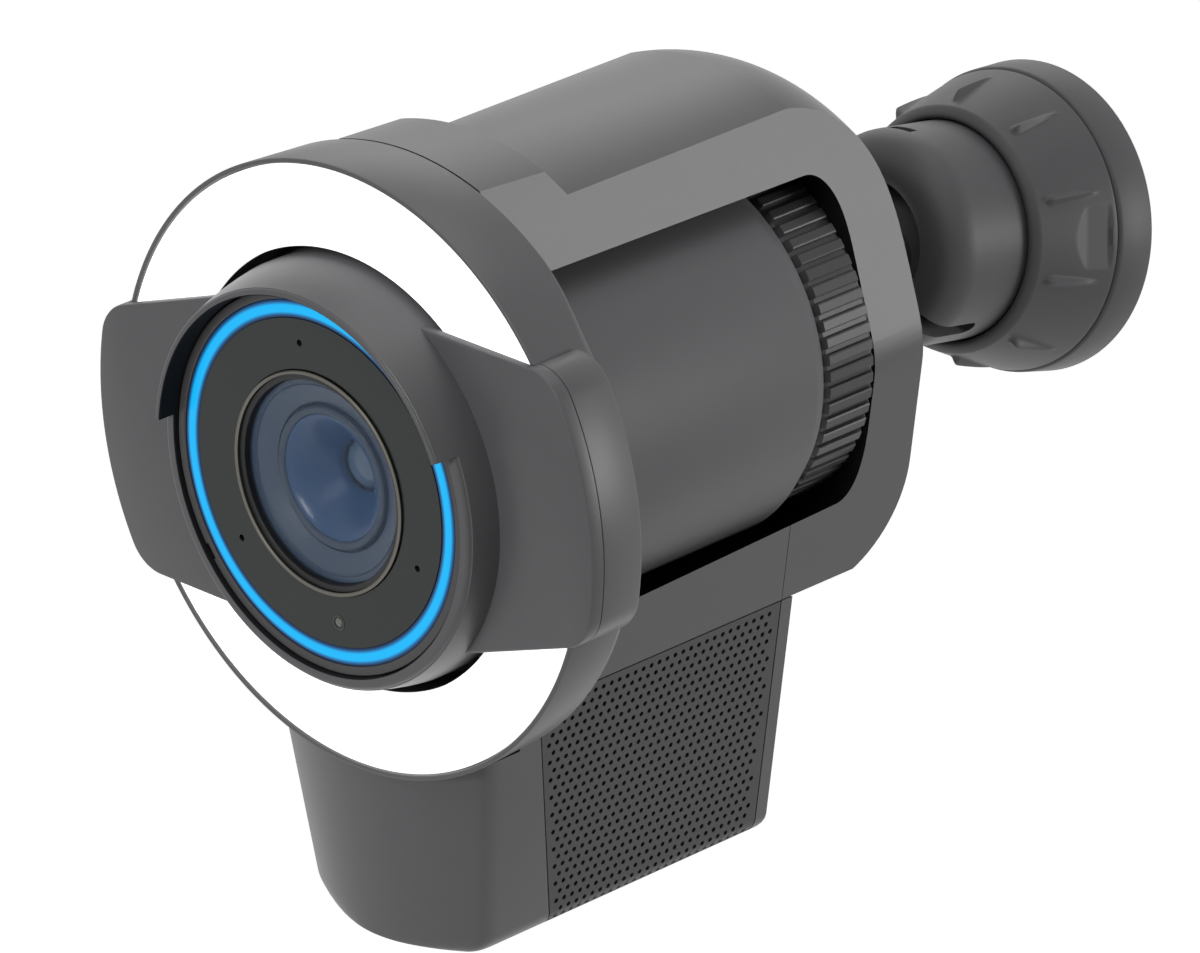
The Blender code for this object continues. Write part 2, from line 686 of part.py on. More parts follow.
def speaker_driver(side):
    back = -SPEAKER_FLANGE_T
    made = turned("speaker_driver_%s" % SIDES[side], [
        (0, -SPEAKER_FLANGE_T / 2), (SPEAKER_R - 2 * SPEAKER_RIM, 0), (SPEAKER_R, 0), (SPEAKER_R, back),
        (MAGNET_R, back), (MAGNET_R, back - MAGNET_T), (0, back - MAGNET_T)], HEAD, 24)
    made.matrix_local = speaker_place(side, BOX_WALL + GAP)
    return as_part(made, DARK, 0.7)


def audio_board():
    width, thick, length = AUDIO_BOARD
    back = BOX_BACK + 2 * BOX_WALL
    floor = BOX_FLOOR_UP + GAP
    made = block("audio_board", (-width / 2, floor, back), (width / 2, floor + thick, back + length), HEAD)
    return as_part(made, BOARD_GREEN, 0.6, smooth=False)


# Floodlight

LIGHT_FRONT = LIGHT_BACK + LIGHT_DEPTH
DIFFUSER_BACK = LIGHT_FRONT - DIFFUSER_T
LIGHT_FACE_R = LIGHT_R - LIGHT_RIM
LIGHT_WELL_R = LIGHT_FACE_R - LIGHT_LEDGE
LIGHT_INNER_R = LIGHT_BORE_R + LIGHT_INNER_WALL


def light_ring():
    ledge = DIFFUSER_BACK - GAP
    floor = LIGHT_BACK + LIGHT_FLOOR
    return as_part(turned("light_ring", [
        (LIGHT_R, LIGHT_FRONT), (COLLAR_R, LIGHT_BACK), (LIGHT_BORE_R, LIGHT_BACK), (LIGHT_BORE_R, ledge),
        (LIGHT_INNER_R, ledge), (LIGHT_INNER_R, floor), (LIGHT_WELL_R, floor), (LIGHT_WELL_R, ledge),
        (LIGHT_FACE_R, ledge), (LIGHT_FACE_R, LIGHT_FRONT)], HEAD, FINE), GREY, 0.5)


def diffuser():
    outer = LIGHT_FACE_R - GAP
    made = turned("diffuser", [
        (outer, LIGHT_FRONT), (outer, DIFFUSER_BACK), (LIGHT_BORE_R, DIFFUSER_BACK),
        (LIGHT_BORE_R, LIGHT_FRONT)], HEAD, FINE)
    return as_part(made, "ffffff", 0.4)


def led_board():
    back = LIGHT_BACK + LIGHT_FLOOR + GAP
    outer, inner = LIGHT_WELL_R - GAP, LIGHT_INNER_R + GAP
    front = back + LED_BOARD_T
    made = turned("led_board", [(outer, front), (outer, back), (inner, back), (inner, front)], HEAD)
    return as_part(made, "e8e8e4", 0.6)


# Camera

HOOD_BACK = LIGHT_FRONT - HOOD_SKIRT
HOOD_LIP = LIGHT_FRONT + HOOD_REACH
HOOD_BORE_R = BARREL_R - HOOD_RIM
HOOD_LIP_R = HOOD_BORE_R + HOOD_LIP_W
WING_BACK = LIGHT_FRONT + GAP
WING_FRONT = WING_BACK + WING_T
BARREL_BORE_R = BARREL_R - BARREL_WALL
BARREL_FRONT = HOOD_BACK + BARREL_IN_HOOD
KNURL_R = BARREL_R - KNURL_STEP
KNURL_BORE_R = KNURL_R - KNURL_WALL
KNURL_BACK = BORE_BACK + KNURL_CLEARANCE
KNURL_FRONT = KNURL_BACK + KNURL_LENGTH
BARREL_BACK = KNURL_FRONT + KNURL_GROOVE
LIP_FRONT = BARREL_BACK + BARREL_WALL
CAP_NECK_R = KNURL_BORE_R - GAP
CAP_WELL_R = CAP_NECK_R - CAP_WALL
CAP_SEAT = LIP_FRONT + GAP
HEAT_SINK_AT = CAP_SEAT + CAP_FLANGE_T + HEAT_SINK_AHEAD
MAIN_BOARD_AT = HEAT_SINK_AT + HEAT_SINK_T / 2 + HEAT_FIN[2] + MAIN_BOARD_AHEAD
FACE_FRONT = HOOD_LIP - FACE_SET_BACK
CARRIER_FRONT = FACE_FRONT - FACE_GLASS_T - GAP
CARRIER_R = HOOD_BORE_R - GAP
STATUS_OUTER_R = CARRIER_R - CARRIER_RIM - GAP
STATUS_INNER_R = STATUS_OUTER_R - STATUS_W
GLASS_OUTER_R = STATUS_INNER_R - GAP
GLASS_INNER_R = GLASS_OUTER_R - GLASS_BAND_W
BEZEL_R = GLASS_INNER_R - GAP
BEZEL_BORE_R = BEZEL_R - BEZEL_W
TUBE_R = BEZEL_BORE_R - GAP
TUBE_FRONT = FACE_FRONT - GAP
TUBE_BACK = TUBE_FRONT - LENS_TUBE_LENGTH
GLASS_SEAT_R = TUBE_R - LENS_SEAT_WALL
LENS_GLASS_R = GLASS_SEAT_R - GAP
LENS_FUNNEL_R = TUBE_R - LENS_TUBE_WALL
GLASS_BACK = FACE_FRONT - LENS_GLASS_BACK - LENS_GLASS_T
SENSOR_DOWN = (GLASS_INNER_R + GLASS_OUTER_R) / 2


def barrel_shell():
    inset, length = BARREL_CHAMFER
    return as_part(turned("barrel_shell", [
        (BARREL_R, BARREL_FRONT), (BARREL_R, BARREL_BACK + length), (BARREL_R - inset, BARREL_BACK),
        (KNURL_BORE_R, BARREL_BACK), (KNURL_BORE_R, LIP_FRONT), (BARREL_BORE_R, LIP_FRONT),
        (BARREL_BORE_R, BARREL_FRONT)], CAMERA, FINE), GREY, 0.5)


def rear_cap():
    """Plugs the barrel from inside and turns on the stem's spindle."""
    flange_r = BARREL_BORE_R - GAP
    hole_r = SPINDLE_R + GAP
    floor = CAP_BACK + CAP_FLOOR
    front = CAP_SEAT + CAP_FLANGE_T
    return as_part(turned("rear_cap", [
        (flange_r, front), (flange_r, CAP_SEAT), (CAP_NECK_R, CAP_SEAT), (CAP_NECK_R, CAP_BACK),
        (hole_r, CAP_BACK), (hole_r, floor), (CAP_WELL_R, floor),
        (CAP_WELL_R, front)], CAMERA), "3a3a3c", 0.6)


def coupling_ring():
    """Ribbed ring: lands of equal width with square grooves between them."""
    outline = []
    step = math.tau / KNURL_RIBS
    root = KNURL_R - KNURL_DEPTH
    for i in range(KNURL_RIBS):
        start = i * step
        for radius, share in ((root, 0), (KNURL_R, 0.04), (KNURL_R, KNURL_LAND - 0.04), (root, KNURL_LAND)):
            outline.append((radius * math.cos(start + share * step), radius * math.sin(start + share * step)))
    made = prism("coupling_ring", outline, KNURL_BACK, KNURL_FRONT, CAMERA)
    bore = turned("knurl_bore", [
        (0, KNURL_FRONT + KNURL_GROOVE), (KNURL_BORE_R, KNURL_FRONT + KNURL_GROOVE),
        (KNURL_BORE_R, KNURL_BACK - KNURL_GROOVE), (0, KNURL_BACK - KNURL_GROOVE)], CAMERA)
    boolean(made, as_cutter(bore))
    return as_part(made, "4a4a4c", 0.45, smooth=False)


def front_trim():
    """Hood round the barrel's front, visor over its upper half and a wing on each side."""
    tip = HOOD_LIP + VISOR_REACH
    skirt_r = BARREL_R + GAP
    step = BARREL_FRONT + GAP
    outer = bowed((HOOD_LIP_R, tip), (HOOD_R, LIGHT_FRONT), HOOD_BULGE, 5)
    made = turned("front_trim", outer + [
        (HOOD_R, HOOD_BACK), (skirt_r, HOOD_BACK), (skirt_r, step), (HOOD_BORE_R, step), (HOOD_BORE_R, tip)],
        CAMERA, FINE)
    boolean(made, visor_cut(tip))
    boolean(made, wings(), "UNION")
    return as_part(made, GREY, 0.5)


def visor_cut(tip):
    """Takes the front edge off below the visor's two ends."""
    reach = 2 * HOOD_R
    end_x, end_y = reach * math.sin(VISOR_HALF_ANGLE), reach * math.cos(VISOR_HALF_ANGLE)
    outline = [(0, 0), (-end_x, end_y), (-end_x, -reach), (end_x, -reach), (end_x, end_y)]
    return as_cutter(prism("visor_cut", outline, HOOD_LIP, tip + VISOR_REACH, CAMERA))


def wings():
    """Plates in front of the diffuser's sides with a band back along the ring."""
    band_r = LIGHT_R + GAP
    band_back = LIGHT_FRONT - WING_WRAP
    outer_r = band_r + WING_BAND_T
    root_r = (HOOD_BORE_R + HOOD_LIP_R) / 2
    made = turned("wings", [
        (outer_r - WING_EDGE, WING_FRONT), (outer_r, WING_FRONT - WING_EDGE), (outer_r, band_back),
        (band_r, band_back), (band_r, WING_BACK), (root_r, WING_BACK), (root_r, WING_FRONT)], CAMERA, FINE)
    return as_cutter(boolean(made, wing_outline(outer_r), "INTERSECT"))


def wing_outline(outer_r):
    """Front outline of both wings: a disc with rounded corners and edges that flare towards the hood."""
    centre_r = outer_r - WING_CORNER
    centre_y = WING_HALF_H - WING_CORNER
    centre_x = math.sqrt(centre_r ** 2 - centre_y ** 2)
    turn = math.degrees(math.atan2(centre_y, centre_x))
    over = outer_r + GAP
    right = arc((0, 0), (over, over), -turn, turn, 8)[1:-1]
    corner = arc((centre_x, centre_y), (WING_CORNER + GAP, WING_CORNER), turn, 90 - math.degrees(WING_FLARE), 4)
    lower = [(x, -y) for x, y in reversed(corner)]
    right = lower + right + corner
    peak = corner[-1][1] + corner[-1][0] * math.tan(WING_FLARE)
    outline = right + [(0, peak)] + [(-x, -y) for x, y in right] + [(0, -peak)]
    return as_cutter(prism("wing_outline", outline, HOOD_BACK - LIGHT_DEPTH, WING_FRONT + WING_T, CAMERA))


def face_carrier():
    """Plate behind the glass with a rim that stands level with it."""
    rim_r = CARRIER_R - CARRIER_RIM
    bore_r = BEZEL_BORE_R
    return as_part(turned("face_carrier", [
        (CARRIER_R, FACE_FRONT), (CARRIER_R, CARRIER_FRONT - CARRIER_T), (bore_r, CARRIER_FRONT - CARRIER_T),
        (bore_r, CARRIER_FRONT), (rim_r, CARRIER_FRONT), (rim_r, FACE_FRONT)], CAMERA, FINE), "58585a", 0.5)


def status_ring():
    """Light guide round the glass."""
    back = FACE_FRONT - STATUS_T
    return as_part(turned("status_ring", [
        (STATUS_OUTER_R, FACE_FRONT), (STATUS_OUTER_R, back), (STATUS_INNER_R, back),
        (STATUS_INNER_R, FACE_FRONT)], CAMERA, FINE), "1cbeff", 0.3)


def face_glass():
    back = FACE_FRONT - FACE_GLASS_T
    made = turned("face_glass", [
        (GLASS_OUTER_R, FACE_FRONT), (GLASS_OUTER_R, back), (GLASS_INNER_R, back),
        (GLASS_INNER_R, FACE_FRONT)], CAMERA, FINE)
    hole_r = SENSOR_R + GAP
    hole = turned("sensor_hole", [
        (0, FACE_FRONT + GAP), (hole_r, FACE_FRONT + GAP), (hole_r, back - GAP), (0, back - GAP)], CAMERA, 12)
    hole.location.y = -SENSOR_DOWN
    boolean(made, as_cutter(hole))
    return as_part(made, "141616", 0.1)


def light_sensor():
    """Small round window low in the glass."""
    back = FACE_FRONT - FACE_GLASS_T
    made = turned("light_sensor", [
        (0, FACE_FRONT), (SENSOR_R, FACE_FRONT), (SENSOR_R, back), (0, back)], CAMERA, 12)
    made.location.y = -SENSOR_DOWN
    return as_part(made, "6c7468", 0.2)


def lens_bezel():
    front = FACE_FRONT + BEZEL_PROUD
    return as_part(turned("lens_bezel", [
        (BEZEL_R, front), (BEZEL_R, CARRIER_FRONT + GAP), (BEZEL_BORE_R, CARRIER_FRONT + GAP),
        (BEZEL_BORE_R, front)], CAMERA), "7c7a74", 0.35, 1.0)


def lens_tube():
    """Tube with a seat for the front glass and a funnel down to the moving cell."""
    seat = GLASS_BACK - GAP
    throat = seat - LENS_FUNNEL_LENGTH
    return as_part(turned("lens_tube", [
        (TUBE_R, TUBE_FRONT), (TUBE_R, TUBE_BACK), (LENS_FUNNEL_R, TUBE_BACK), (LENS_FUNNEL_R, throat),
        (GLASS_SEAT_R - LENS_LEDGE, seat), (GLASS_SEAT_R, seat),
        (GLASS_SEAT_R, TUBE_FRONT)], CAMERA), DARK, 0.5)


def lens_window():
    front = GLASS_BACK + LENS_GLASS_T
    crown = [(LENS_GLASS_R * t, front + LENS_CROWN * (1 - t * t)) for t in (0, 0.35, 0.7, 1)]
    made = turned("lens_window", crown + [(LENS_GLASS_R, GLASS_BACK), (0, GLASS_BACK)], CAMERA)
    return as_part(made, "28384c", 0.05)


def zoom_cell():
    """Inner lens group in its sleeve, at the back of its travel."""
    front = GLASS_BACK - GAP - LENS_FUNNEL_LENGTH - ZOOM_TRAVEL
    radius = LENS_FUNNEL_R - GAP
    back = front - ZOOM_LENGTH
    crown = [(radius * t, front - LENS_CROWN * t * t) for t in (0, 0.35, 0.7, 1)]
    return as_part(turned("zoom_cell", crown + [(radius, back), (0, back)], CAMERA), "1c2c44", 0.08)


def image_board():
    front = TUBE_BACK - GAP
    made = block("image_board", (-TUBE_R, -TUBE_R, front - SENSOR_BOARD_T), (TUBE_R, TUBE_R, front), CAMERA)
    return as_part(made, BOARD_GREEN, 0.6, smooth=False)


def round_plate(name, back, thick):
    """A disc that fills the barrel's bore."""
    radius = BARREL_BORE_R - GAP
    front = back + thick
    return turned(name, [(0, front), (radius, front), (radius, back), (0, back)], CAMERA)


def main_board():
    return as_part(round_plate("main_board", MAIN_BOARD_AT, MAIN_BOARD_T), BOARD_GREEN, 0.6)


def heat_sink():
    made = round_plate("heat_sink", HEAT_SINK_AT, HEAT_SINK_T)
    width, thick, height = HEAT_FIN
    bm = bmesh.new()
    for i in range(HEAT_FIN_COUNT):
        up = (i - (HEAT_FIN_COUNT - 1) / 2) * HEAT_FIN_PITCH
        middle = (0, up, HEAT_SINK_AT + (HEAT_SINK_T + height) / 2)
        bmesh.ops.create_cube(bm, size=1, matrix=Matrix.LocRotScale(middle, None, (width, thick, height)))
    boolean(made, as_cutter(new_object("heat_fins", bm, CAMERA)), "UNION")
    return as_part(made, "8c8c8e", 0.4, 1.0)


def network_socket():
    """Data socket standing on the rear cap's floor."""
    width, height, depth = SOCKET
    floor = CAP_BACK + CAP_FLOOR + GAP
    top = drop(CAP_WELL_R - GAP, width / 2)
    made = block("network_socket", (-width / 2, top - height, floor), (width / 2, top, floor + depth), CAMERA)
    return as_part(made, DARK, 0.5, smooth=False)


SIDES = {-1: "left", 1: "right"}

for old in list(bpy.data.objects):
    bpy.data.objects.remove(old, do_unlink=True)

PARTS = bpy.data.collections.new("Floodlight camera")
CUTTERS = bpy.data.collections.new("Cutters")
for collection in (PARTS, CUTTERS):
    bpy.context.scene.collection.children.link(collection)

# The wall frame's z points out of the wall, towards world -Y
MOUNT = empty("mount_axis", PARTS, rotation=(math.pi / 2, 0, 0))
HEAD = empty("tilt_pivot", PARTS, location=(0, -BALL_AHEAD, 0), rotation=(math.pi / 2 + TILT, 0, 0))
CAMERA = empty("roll_pivot", PARTS, parent=HEAD, rotation=(0, 0, ROLL))

BORE_CUTTER = bore_cutter()

for make in (wall_plate, pressure_pad, lock_ring, ball_cup, ball_stem, spindle_nut, frame_shell,
             speaker_box, audio_board, light_ring, diffuser, led_board, barrel_shell, rear_cap,
             coupling_ring, front_trim, face_carrier, status_ring, face_glass, light_sensor, lens_bezel,
             lens_tube, lens_window, zoom_cell, image_board, main_board, heat_sink, network_socket):
    make()
for hand in (-1, 1):
    wall_screw(hand)
    grille(hand)
    speaker_driver(hand)
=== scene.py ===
# %% [markdown]
# # A floodlight security camera on a ball mount
#
# The camera hangs on a wall by a ball mount.  A grey frame carries a rolled camera barrel, a ring
# of light round its front and a speaker box below.  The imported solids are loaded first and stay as
# they are: every finer piece below is made in the same place and rides on the same moving body.

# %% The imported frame
import math

import bmesh
import bpy
from mathutils import Matrix, Vector


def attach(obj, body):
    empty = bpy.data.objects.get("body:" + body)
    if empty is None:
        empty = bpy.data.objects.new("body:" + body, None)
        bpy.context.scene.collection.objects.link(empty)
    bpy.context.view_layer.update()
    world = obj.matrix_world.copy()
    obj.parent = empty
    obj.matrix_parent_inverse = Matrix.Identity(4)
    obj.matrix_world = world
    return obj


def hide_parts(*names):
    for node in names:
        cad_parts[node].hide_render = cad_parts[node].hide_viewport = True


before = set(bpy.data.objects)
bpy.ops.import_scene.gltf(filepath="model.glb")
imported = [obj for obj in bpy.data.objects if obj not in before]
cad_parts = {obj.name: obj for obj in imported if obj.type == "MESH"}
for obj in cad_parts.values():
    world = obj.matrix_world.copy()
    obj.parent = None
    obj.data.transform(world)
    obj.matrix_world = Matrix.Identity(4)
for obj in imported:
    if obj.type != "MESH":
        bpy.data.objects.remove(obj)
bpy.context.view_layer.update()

# %% [markdown]
# ## The camera
#
# The picture was taken from the right, a little above, with a long lens.  Its place was worked out
# from the round rings of the object, which show as ellipses.  The three columns are the directions
# to the right of the picture, up it and back towards the photographer.

# %% The camera that took the picture
MM = 0.001
RIGHT = (0.71705, 0.68622, 0.12223)
UP = (-0.28326, 0.12665, 0.95065)
BACK = (0.63687, -0.71628, 0.28519)
STANDPOINT = (1.41836, -1.71738, 0.59519)

lens = bpy.data.cameras.new("picture_camera")
lens.sensor_width = 36.0
lens.lens = 338.3
viewer = bpy.data.objects.new("picture_camera", lens)
viewer.matrix_world = Matrix((RIGHT, UP, BACK)).transposed().to_4x4()
viewer.location = STANDPOINT
bpy.context.scene.collection.objects.link(viewer)
bpy.context.scene.camera = viewer
print("camera stands %.2f m away" % Vector(STANDPOINT).length)

# %% [markdown]
# ## Three places to build in
#
# The mount stands straight out of the wall.  The head is tilted down on the ball, and the camera is
# rolled inside the head.  A piece is made with z as its forward axis, then moved by one of these
# matrices, so its place ends up in its mesh and its object stays at the origin.

# %% Places
BALL_AHEAD = 30.5 * MM
TILT = math.radians(10.1)
ROLL = math.radians(10.2)

MOUNT = Matrix.Rotation(math.pi / 2, 4, "X")
HEAD = Matrix.Translation((0, -BALL_AHEAD, 0)) @ Matrix.Rotation(math.pi / 2 + TILT, 4, "X")
CAMERA = HEAD @ Matrix.Rotation(ROLL, 4, "Z")
print("head tilted %.1f and camera rolled %.1f degrees" % (math.degrees(TILT), math.degrees(ROLL)))

# %% [markdown]
# ## Small tools for finishes
#
# One function turns a picture's hex colour into the linear colour that the shader needs, and one
# adds a node with its inputs, either a number or a link.  Patterns are set in millimetres: a noise
# of scale 1000 / size has spots about that many millimetres wide.


# %% Finish helpers
def linear(hex_colour):
    """A hex colour from the picture as linear red, green, blue and alpha."""
    channels = [int(hex_colour[i:i + 2], 16) / 255 for i in (0, 2, 4)]
    return [c / 12.92 if c <= 0.04045 else ((c + 0.055) / 1.055) ** 2.4 for c in channels] + [1.0]


def add(tree, kind, inputs, **settings):
    """Add a node; an input takes a value or another node's socket."""
    node = tree.nodes.new("ShaderNode" + kind)
    for key, value in settings.items():
        setattr(node, key, value)
    for key, value in inputs.items():
        if isinstance(value, bpy.types.NodeSocket):
            tree.links.new(value, node.inputs[key])
        else:
            node.inputs[key].default_value = value
    return node


def per_mm(size):
    """The scale of a pattern whose features are this many millimetres wide."""
    return 1000.0 / size


def new_finish(name, **sockets):
    """A material with a plain Principled shader; returns it, its tree and the shader."""
    made = bpy.data.materials.new(name)
    made.use_nodes = True
    shader = made.node_tree.nodes["Principled BSDF"]
    for key, value in sockets.items():
        shader.inputs[key.replace("_", " ").title().replace("Ior", "IOR")].default_value = value
    return made, made.node_tree, shader


def ramp(tree, factor, low, high):
    """Mix two hex colours by a factor."""
    node = add(tree, "Mix", {"Factor": factor}, data_type="RGBA")
    node.inputs["A"].default_value = linear(low)
    node.inputs["B"].default_value = linear(high)
    return node.outputs["Result"]


def mottled(tree, socket, size, detail, low, high):
    """Feed a socket with two hex colours, mixed by a noise this many millimetres wide."""
    place = add(tree, "TexCoord", {}).outputs["Object"]
    noise = add(tree, "TexNoise", {"Vector": place, "Scale": per_mm(size), "Detail": detail})
    tree.links.new(ramp(tree, noise.outputs["Fac"], low, high), socket)


print("mid grey 808080 is %.3f in linear light" % linear("808080")[0])

# %% [markdown]
# ## Grey housing
#
# The housing is moulded polycarbonate with a fine sparked texture, which gives a soft satin sheen
# and a very slight mottle.  The real grit is about 0.1 mm, too fine to show here, so it is drawn
# at 0.35 mm.  The barrel is duller than the frame, so it shows no bright streak.  The mount is die
# cast and painted, with a coarser orange peel, and its grey is set a little darker.  Linings are matt
# black, as painted shade for the dark of the deep gaps.


# %% Moulded and painted greys
def moulded_grey(name, low, high, roughness, grit=0.35, depth=0.02, gloss=0.35):
    """Satin grey with a mottle some millimetres wide and a fine grit."""
    made, tree, shader = new_finish(name, roughness=roughness, specular_ior_level=gloss)
    mottled(tree, shader.inputs["Base Color"], 9.0, 3.0, low, high)
    place = add(tree, "TexCoord", {}).outputs["Object"]
    grain = add(tree, "TexNoise", {"Vector": place, "Scale": per_mm(grit), "Detail": 2.0})
    sheen = add(tree, "MapRange", {"Value": grain.outputs["Fac"], "To Min": roughness - 0.05,
                                   "To Max": roughness + 0.05})
    tree.links.new(sheen.outputs["Result"], shader.inputs["Roughness"])
    bump = add(tree, "Bump", {"Height": grain.outputs["Fac"], "Strength": 0.35, "Distance": depth * MM})
    tree.links.new(bump.outputs["Normal"], shader.inputs["Normal"])
    return made


housing = moulded_grey("moulded_polycarbonate_grey", "626264", "666668", 0.36)
barrel_grey = moulded_grey("moulded_polycarbonate_barrel", "666668", "6a6a6c", 0.5, gloss=0.25)
trim_grey = moulded_grey("moulded_polycarbonate_trim", "606062", "646466", 0.38)
cast_grey = moulded_grey("painted_die_casting_grey", "565658", "5a5a5c", 0.48, 0.6, 0.03)
black_plastic = moulded_grey("moulded_abs_black", "1c1c1e", "222224", 0.5, 0.4)
mesh_grey = moulded_grey("coated_perforated_sheet", "474749", "4d4d4f", 0.5, 0.3)
# Dark grey nylon for the ribs; the same grey lines the flood ring's bore as painted shade.
dark_grey_and_bore_shade = moulded_grey("dark_grey_nylon_and_bore_shade", "3c3c3e", "424244", 0.4, 0.4)
face_grey = moulded_grey("moulded_face_plate", "4c4a4b", "504e4f", 0.45)
lens_grey = moulded_grey("anodised_lens_cone", "46566a", "4c5c70", 0.3, 0.3, 0.005)
lens_ring = moulded_grey("anodised_lens_ring", "3a4858", "40505f", 0.3, 0.3, 0.005)
lens_back = moulded_grey("blued_lens_throat", "2a5484", "305c8c", 0.25, 0.3, 0.002)
# The sensor dome's grey-green is its own tint, lightened as a painted glint.
glinting_sensor_dome = moulded_grey("sensor_dome_painted_glint", "7c8276", "868c80", 0.1, 0.5, 0.001)
# Matt black for the linings: painted shade where the deep gaps fall dark.
painted_shade_black = moulded_grey("painted_shade_lining", "28282a", "2e2e30", 0.85, 0.4, gloss=0.05)
pad_rubber = moulded_grey("moulded_rubber_black", "191919", "202020", 0.8, 0.5, 0.04)
cloth = moulded_grey("acoustic_cloth_black", "0a0a0b", "131314", 0.95, 0.25, 0.06)
print("greys:", [m.name for m in (housing, trim_grey, cast_grey)])

# %% [markdown]
# ## Metals and boards
#
# The lens bezel is turned aluminium, with faint rings from the tool.  Screws and the nut are zinc
# plated steel, and the boards have green solder mask.  Most of these sit inside and only show when
# the object is taken apart, but each has its own finish.


# %% Metals and boards
def camera_frame(tree):
    """Object coordinates read in the camera's own frame, with z along its axis."""
    place = add(tree, "TexCoord", {}).outputs["Object"]
    return add(tree, "Mapping", {"Vector": place, "Location": CAMERA.to_translation(),
                                 "Rotation": CAMERA.to_euler()}, vector_type="TEXTURE").outputs["Vector"]


def turned_metal(name, colour, roughness, pitch):
    """Metal with tool marks as rings about the camera's axis."""
    made, tree, shader = new_finish(name, metallic=1.0, roughness=roughness)
    shader.inputs["Base Color"].default_value = linear(colour)
    marks = add(tree, "TexWave", {"Vector": camera_frame(tree), "Scale": per_mm(pitch) / 20.0},
                wave_type="RINGS", rings_direction="Z")
    bump = add(tree, "Bump", {"Height": marks.outputs["Fac"], "Strength": 0.2, "Distance": 0.01 * MM})
    tree.links.new(bump.outputs["Normal"], shader.inputs["Normal"])
    return made


def plated_steel(name, colour):
    """Zinc plate, with a soft mottled sheen."""
    made, tree, shader = new_finish(name, metallic=1.0, roughness=0.35)
    mottled(tree, shader.inputs["Base Color"], 1.5, 4.0, colour, "b4b4b8")
    return made


def solder_mask(name, low, high):
    """Glossy mask over copper tracks, drawn as a faint brick pattern."""
    made, tree, shader = new_finish(name, roughness=0.35)
    place = add(tree, "TexCoord", {}).outputs["Object"]
    tracks = add(tree, "TexBrick", {"Vector": place, "Scale": per_mm(6.0), "Mortar Size": 0.06})
    tree.links.new(ramp(tree, tracks.outputs["Fac"], low, high), shader.inputs["Base Color"])
    return made


bezel_metal = turned_metal("turned_aluminium_bezel", "66645e", 0.36, 0.4)
sink_metal = turned_metal("extruded_aluminium", "a8a8aa", 0.4, 0.8)
zinc = plated_steel("zinc_plated_steel", "8e8e92")
green_board = solder_mask("solder_mask_green", "1b4428", "2c6a40")
white_board = solder_mask("solder_mask_white", "d8d8d2", "ecece6")
print("metals and boards ready")

# %% [markdown]
# ## Glass and lit plastic
#
# The face is smoked glass over a black mask: almost black, slightly green, with a soft gloss.  The
# front lens is coated and nearly clear, and the small lens behind it is drawn as a solid blue tint,
# lightened as a painted glint.  The flood ring is opal plastic lit from behind, white all over.  The
# status ring is a light guide, brightest along the middle of its width, so its colour follows the
# distance from the camera's axis.


# %% Glass and light
def camera_radius(tree):
    """Distance from the camera's axis in millimetres."""
    flat = add(tree, "VectorMath", {0: camera_frame(tree), 1: (1000.0, 1000.0, 0.0)}, operation="MULTIPLY")
    return add(tree, "VectorMath", {0: flat.outputs["Vector"]}, operation="LENGTH").outputs["Value"]


def smoked_glass():
    """Dark glass with a slow, slight change of tone."""
    made, tree, shader = new_finish("smoked_face_glass", roughness=0.12, specular_ior_level=0.25)
    mottled(tree, shader.inputs["Base Color"], 20.0, 1.0, "2f3534", "343a38")
    return made


def coated_glass(name, low, high, cover):
    """Thin coated glass; its tint stands for the coating's haze, lightened on the rear lens as a painted
    glint, and cover for how much of it is seen.
    """
    made, tree, shader = new_finish(name, roughness=0.04, ior=1.5, alpha=cover)
    mottled(tree, shader.inputs["Base Color"], 15.0, 1.0, low, high)
    return made


def opal_light():
    """Opal cover lit from behind: full white, with the faintest mottle of the moulding."""
    made, tree, shader = new_finish("opal_polycarbonate_lit", roughness=0.35, emission_strength=1.0)
    mottled(tree, shader.inputs["Emission Color"], 12.0, 1.0, "fdfdfd", "ffffff")
    shader.inputs["Base Color"].default_value = linear("f4f4f4")
    return made


GUIDE_MIDDLE = 35.1
GUIDE_HALF_W = 2.2
GUIDE_COLOURS = [(0.3, "0cb8fa"), (0.46, "1a84c4"), (0.62, "164a7a"), (0.8, "0c1e34"), (1.0, "000000")]


def status_light():
    """Light guide behind the glass: a cyan core that fades through blue to the dark of the glass."""
    made, tree, shader = new_finish("lit_acrylic_guide", roughness=0.2, specular_ior_level=0.1,
                                    emission_strength=1.0)
    off = add(tree, "Math", {0: camera_radius(tree), 1: GUIDE_MIDDLE}, operation="SUBTRACT")
    far = add(tree, "Math", {0: off.outputs["Value"]}, operation="ABSOLUTE")
    share = add(tree, "MapRange", {"Value": far.outputs["Value"], "From Max": GUIDE_HALF_W})
    colours = add(tree, "ValToRGB", {"Fac": share.outputs["Result"]})
    stops = colours.color_ramp.elements
    stops.remove(stops[1])
    stops[0].position, stops[0].color = GUIDE_COLOURS[0][0], linear(GUIDE_COLOURS[0][1])
    for position, colour in GUIDE_COLOURS[1:]:
        stops.new(position).color = linear(colour)
    tree.links.new(colours.outputs["Color"], shader.inputs["Emission Color"])
    shader.inputs["Base Color"].default_value = linear("1c1f21")
    return made


face_finish = smoked_glass()
lens_clear = coated_glass("coated_lens_glass", "6c84a4", "788fae", 0.12)
# The rear lens's pale blue is its tint lightened as a painted glint.
lens_painted_glint = coated_glass("rear_lens_tint_painted_glint", "5c7890", "6c88a0", 1.0)
flood_white = opal_light()
guide_blue = status_light()
print("glass and lights ready")
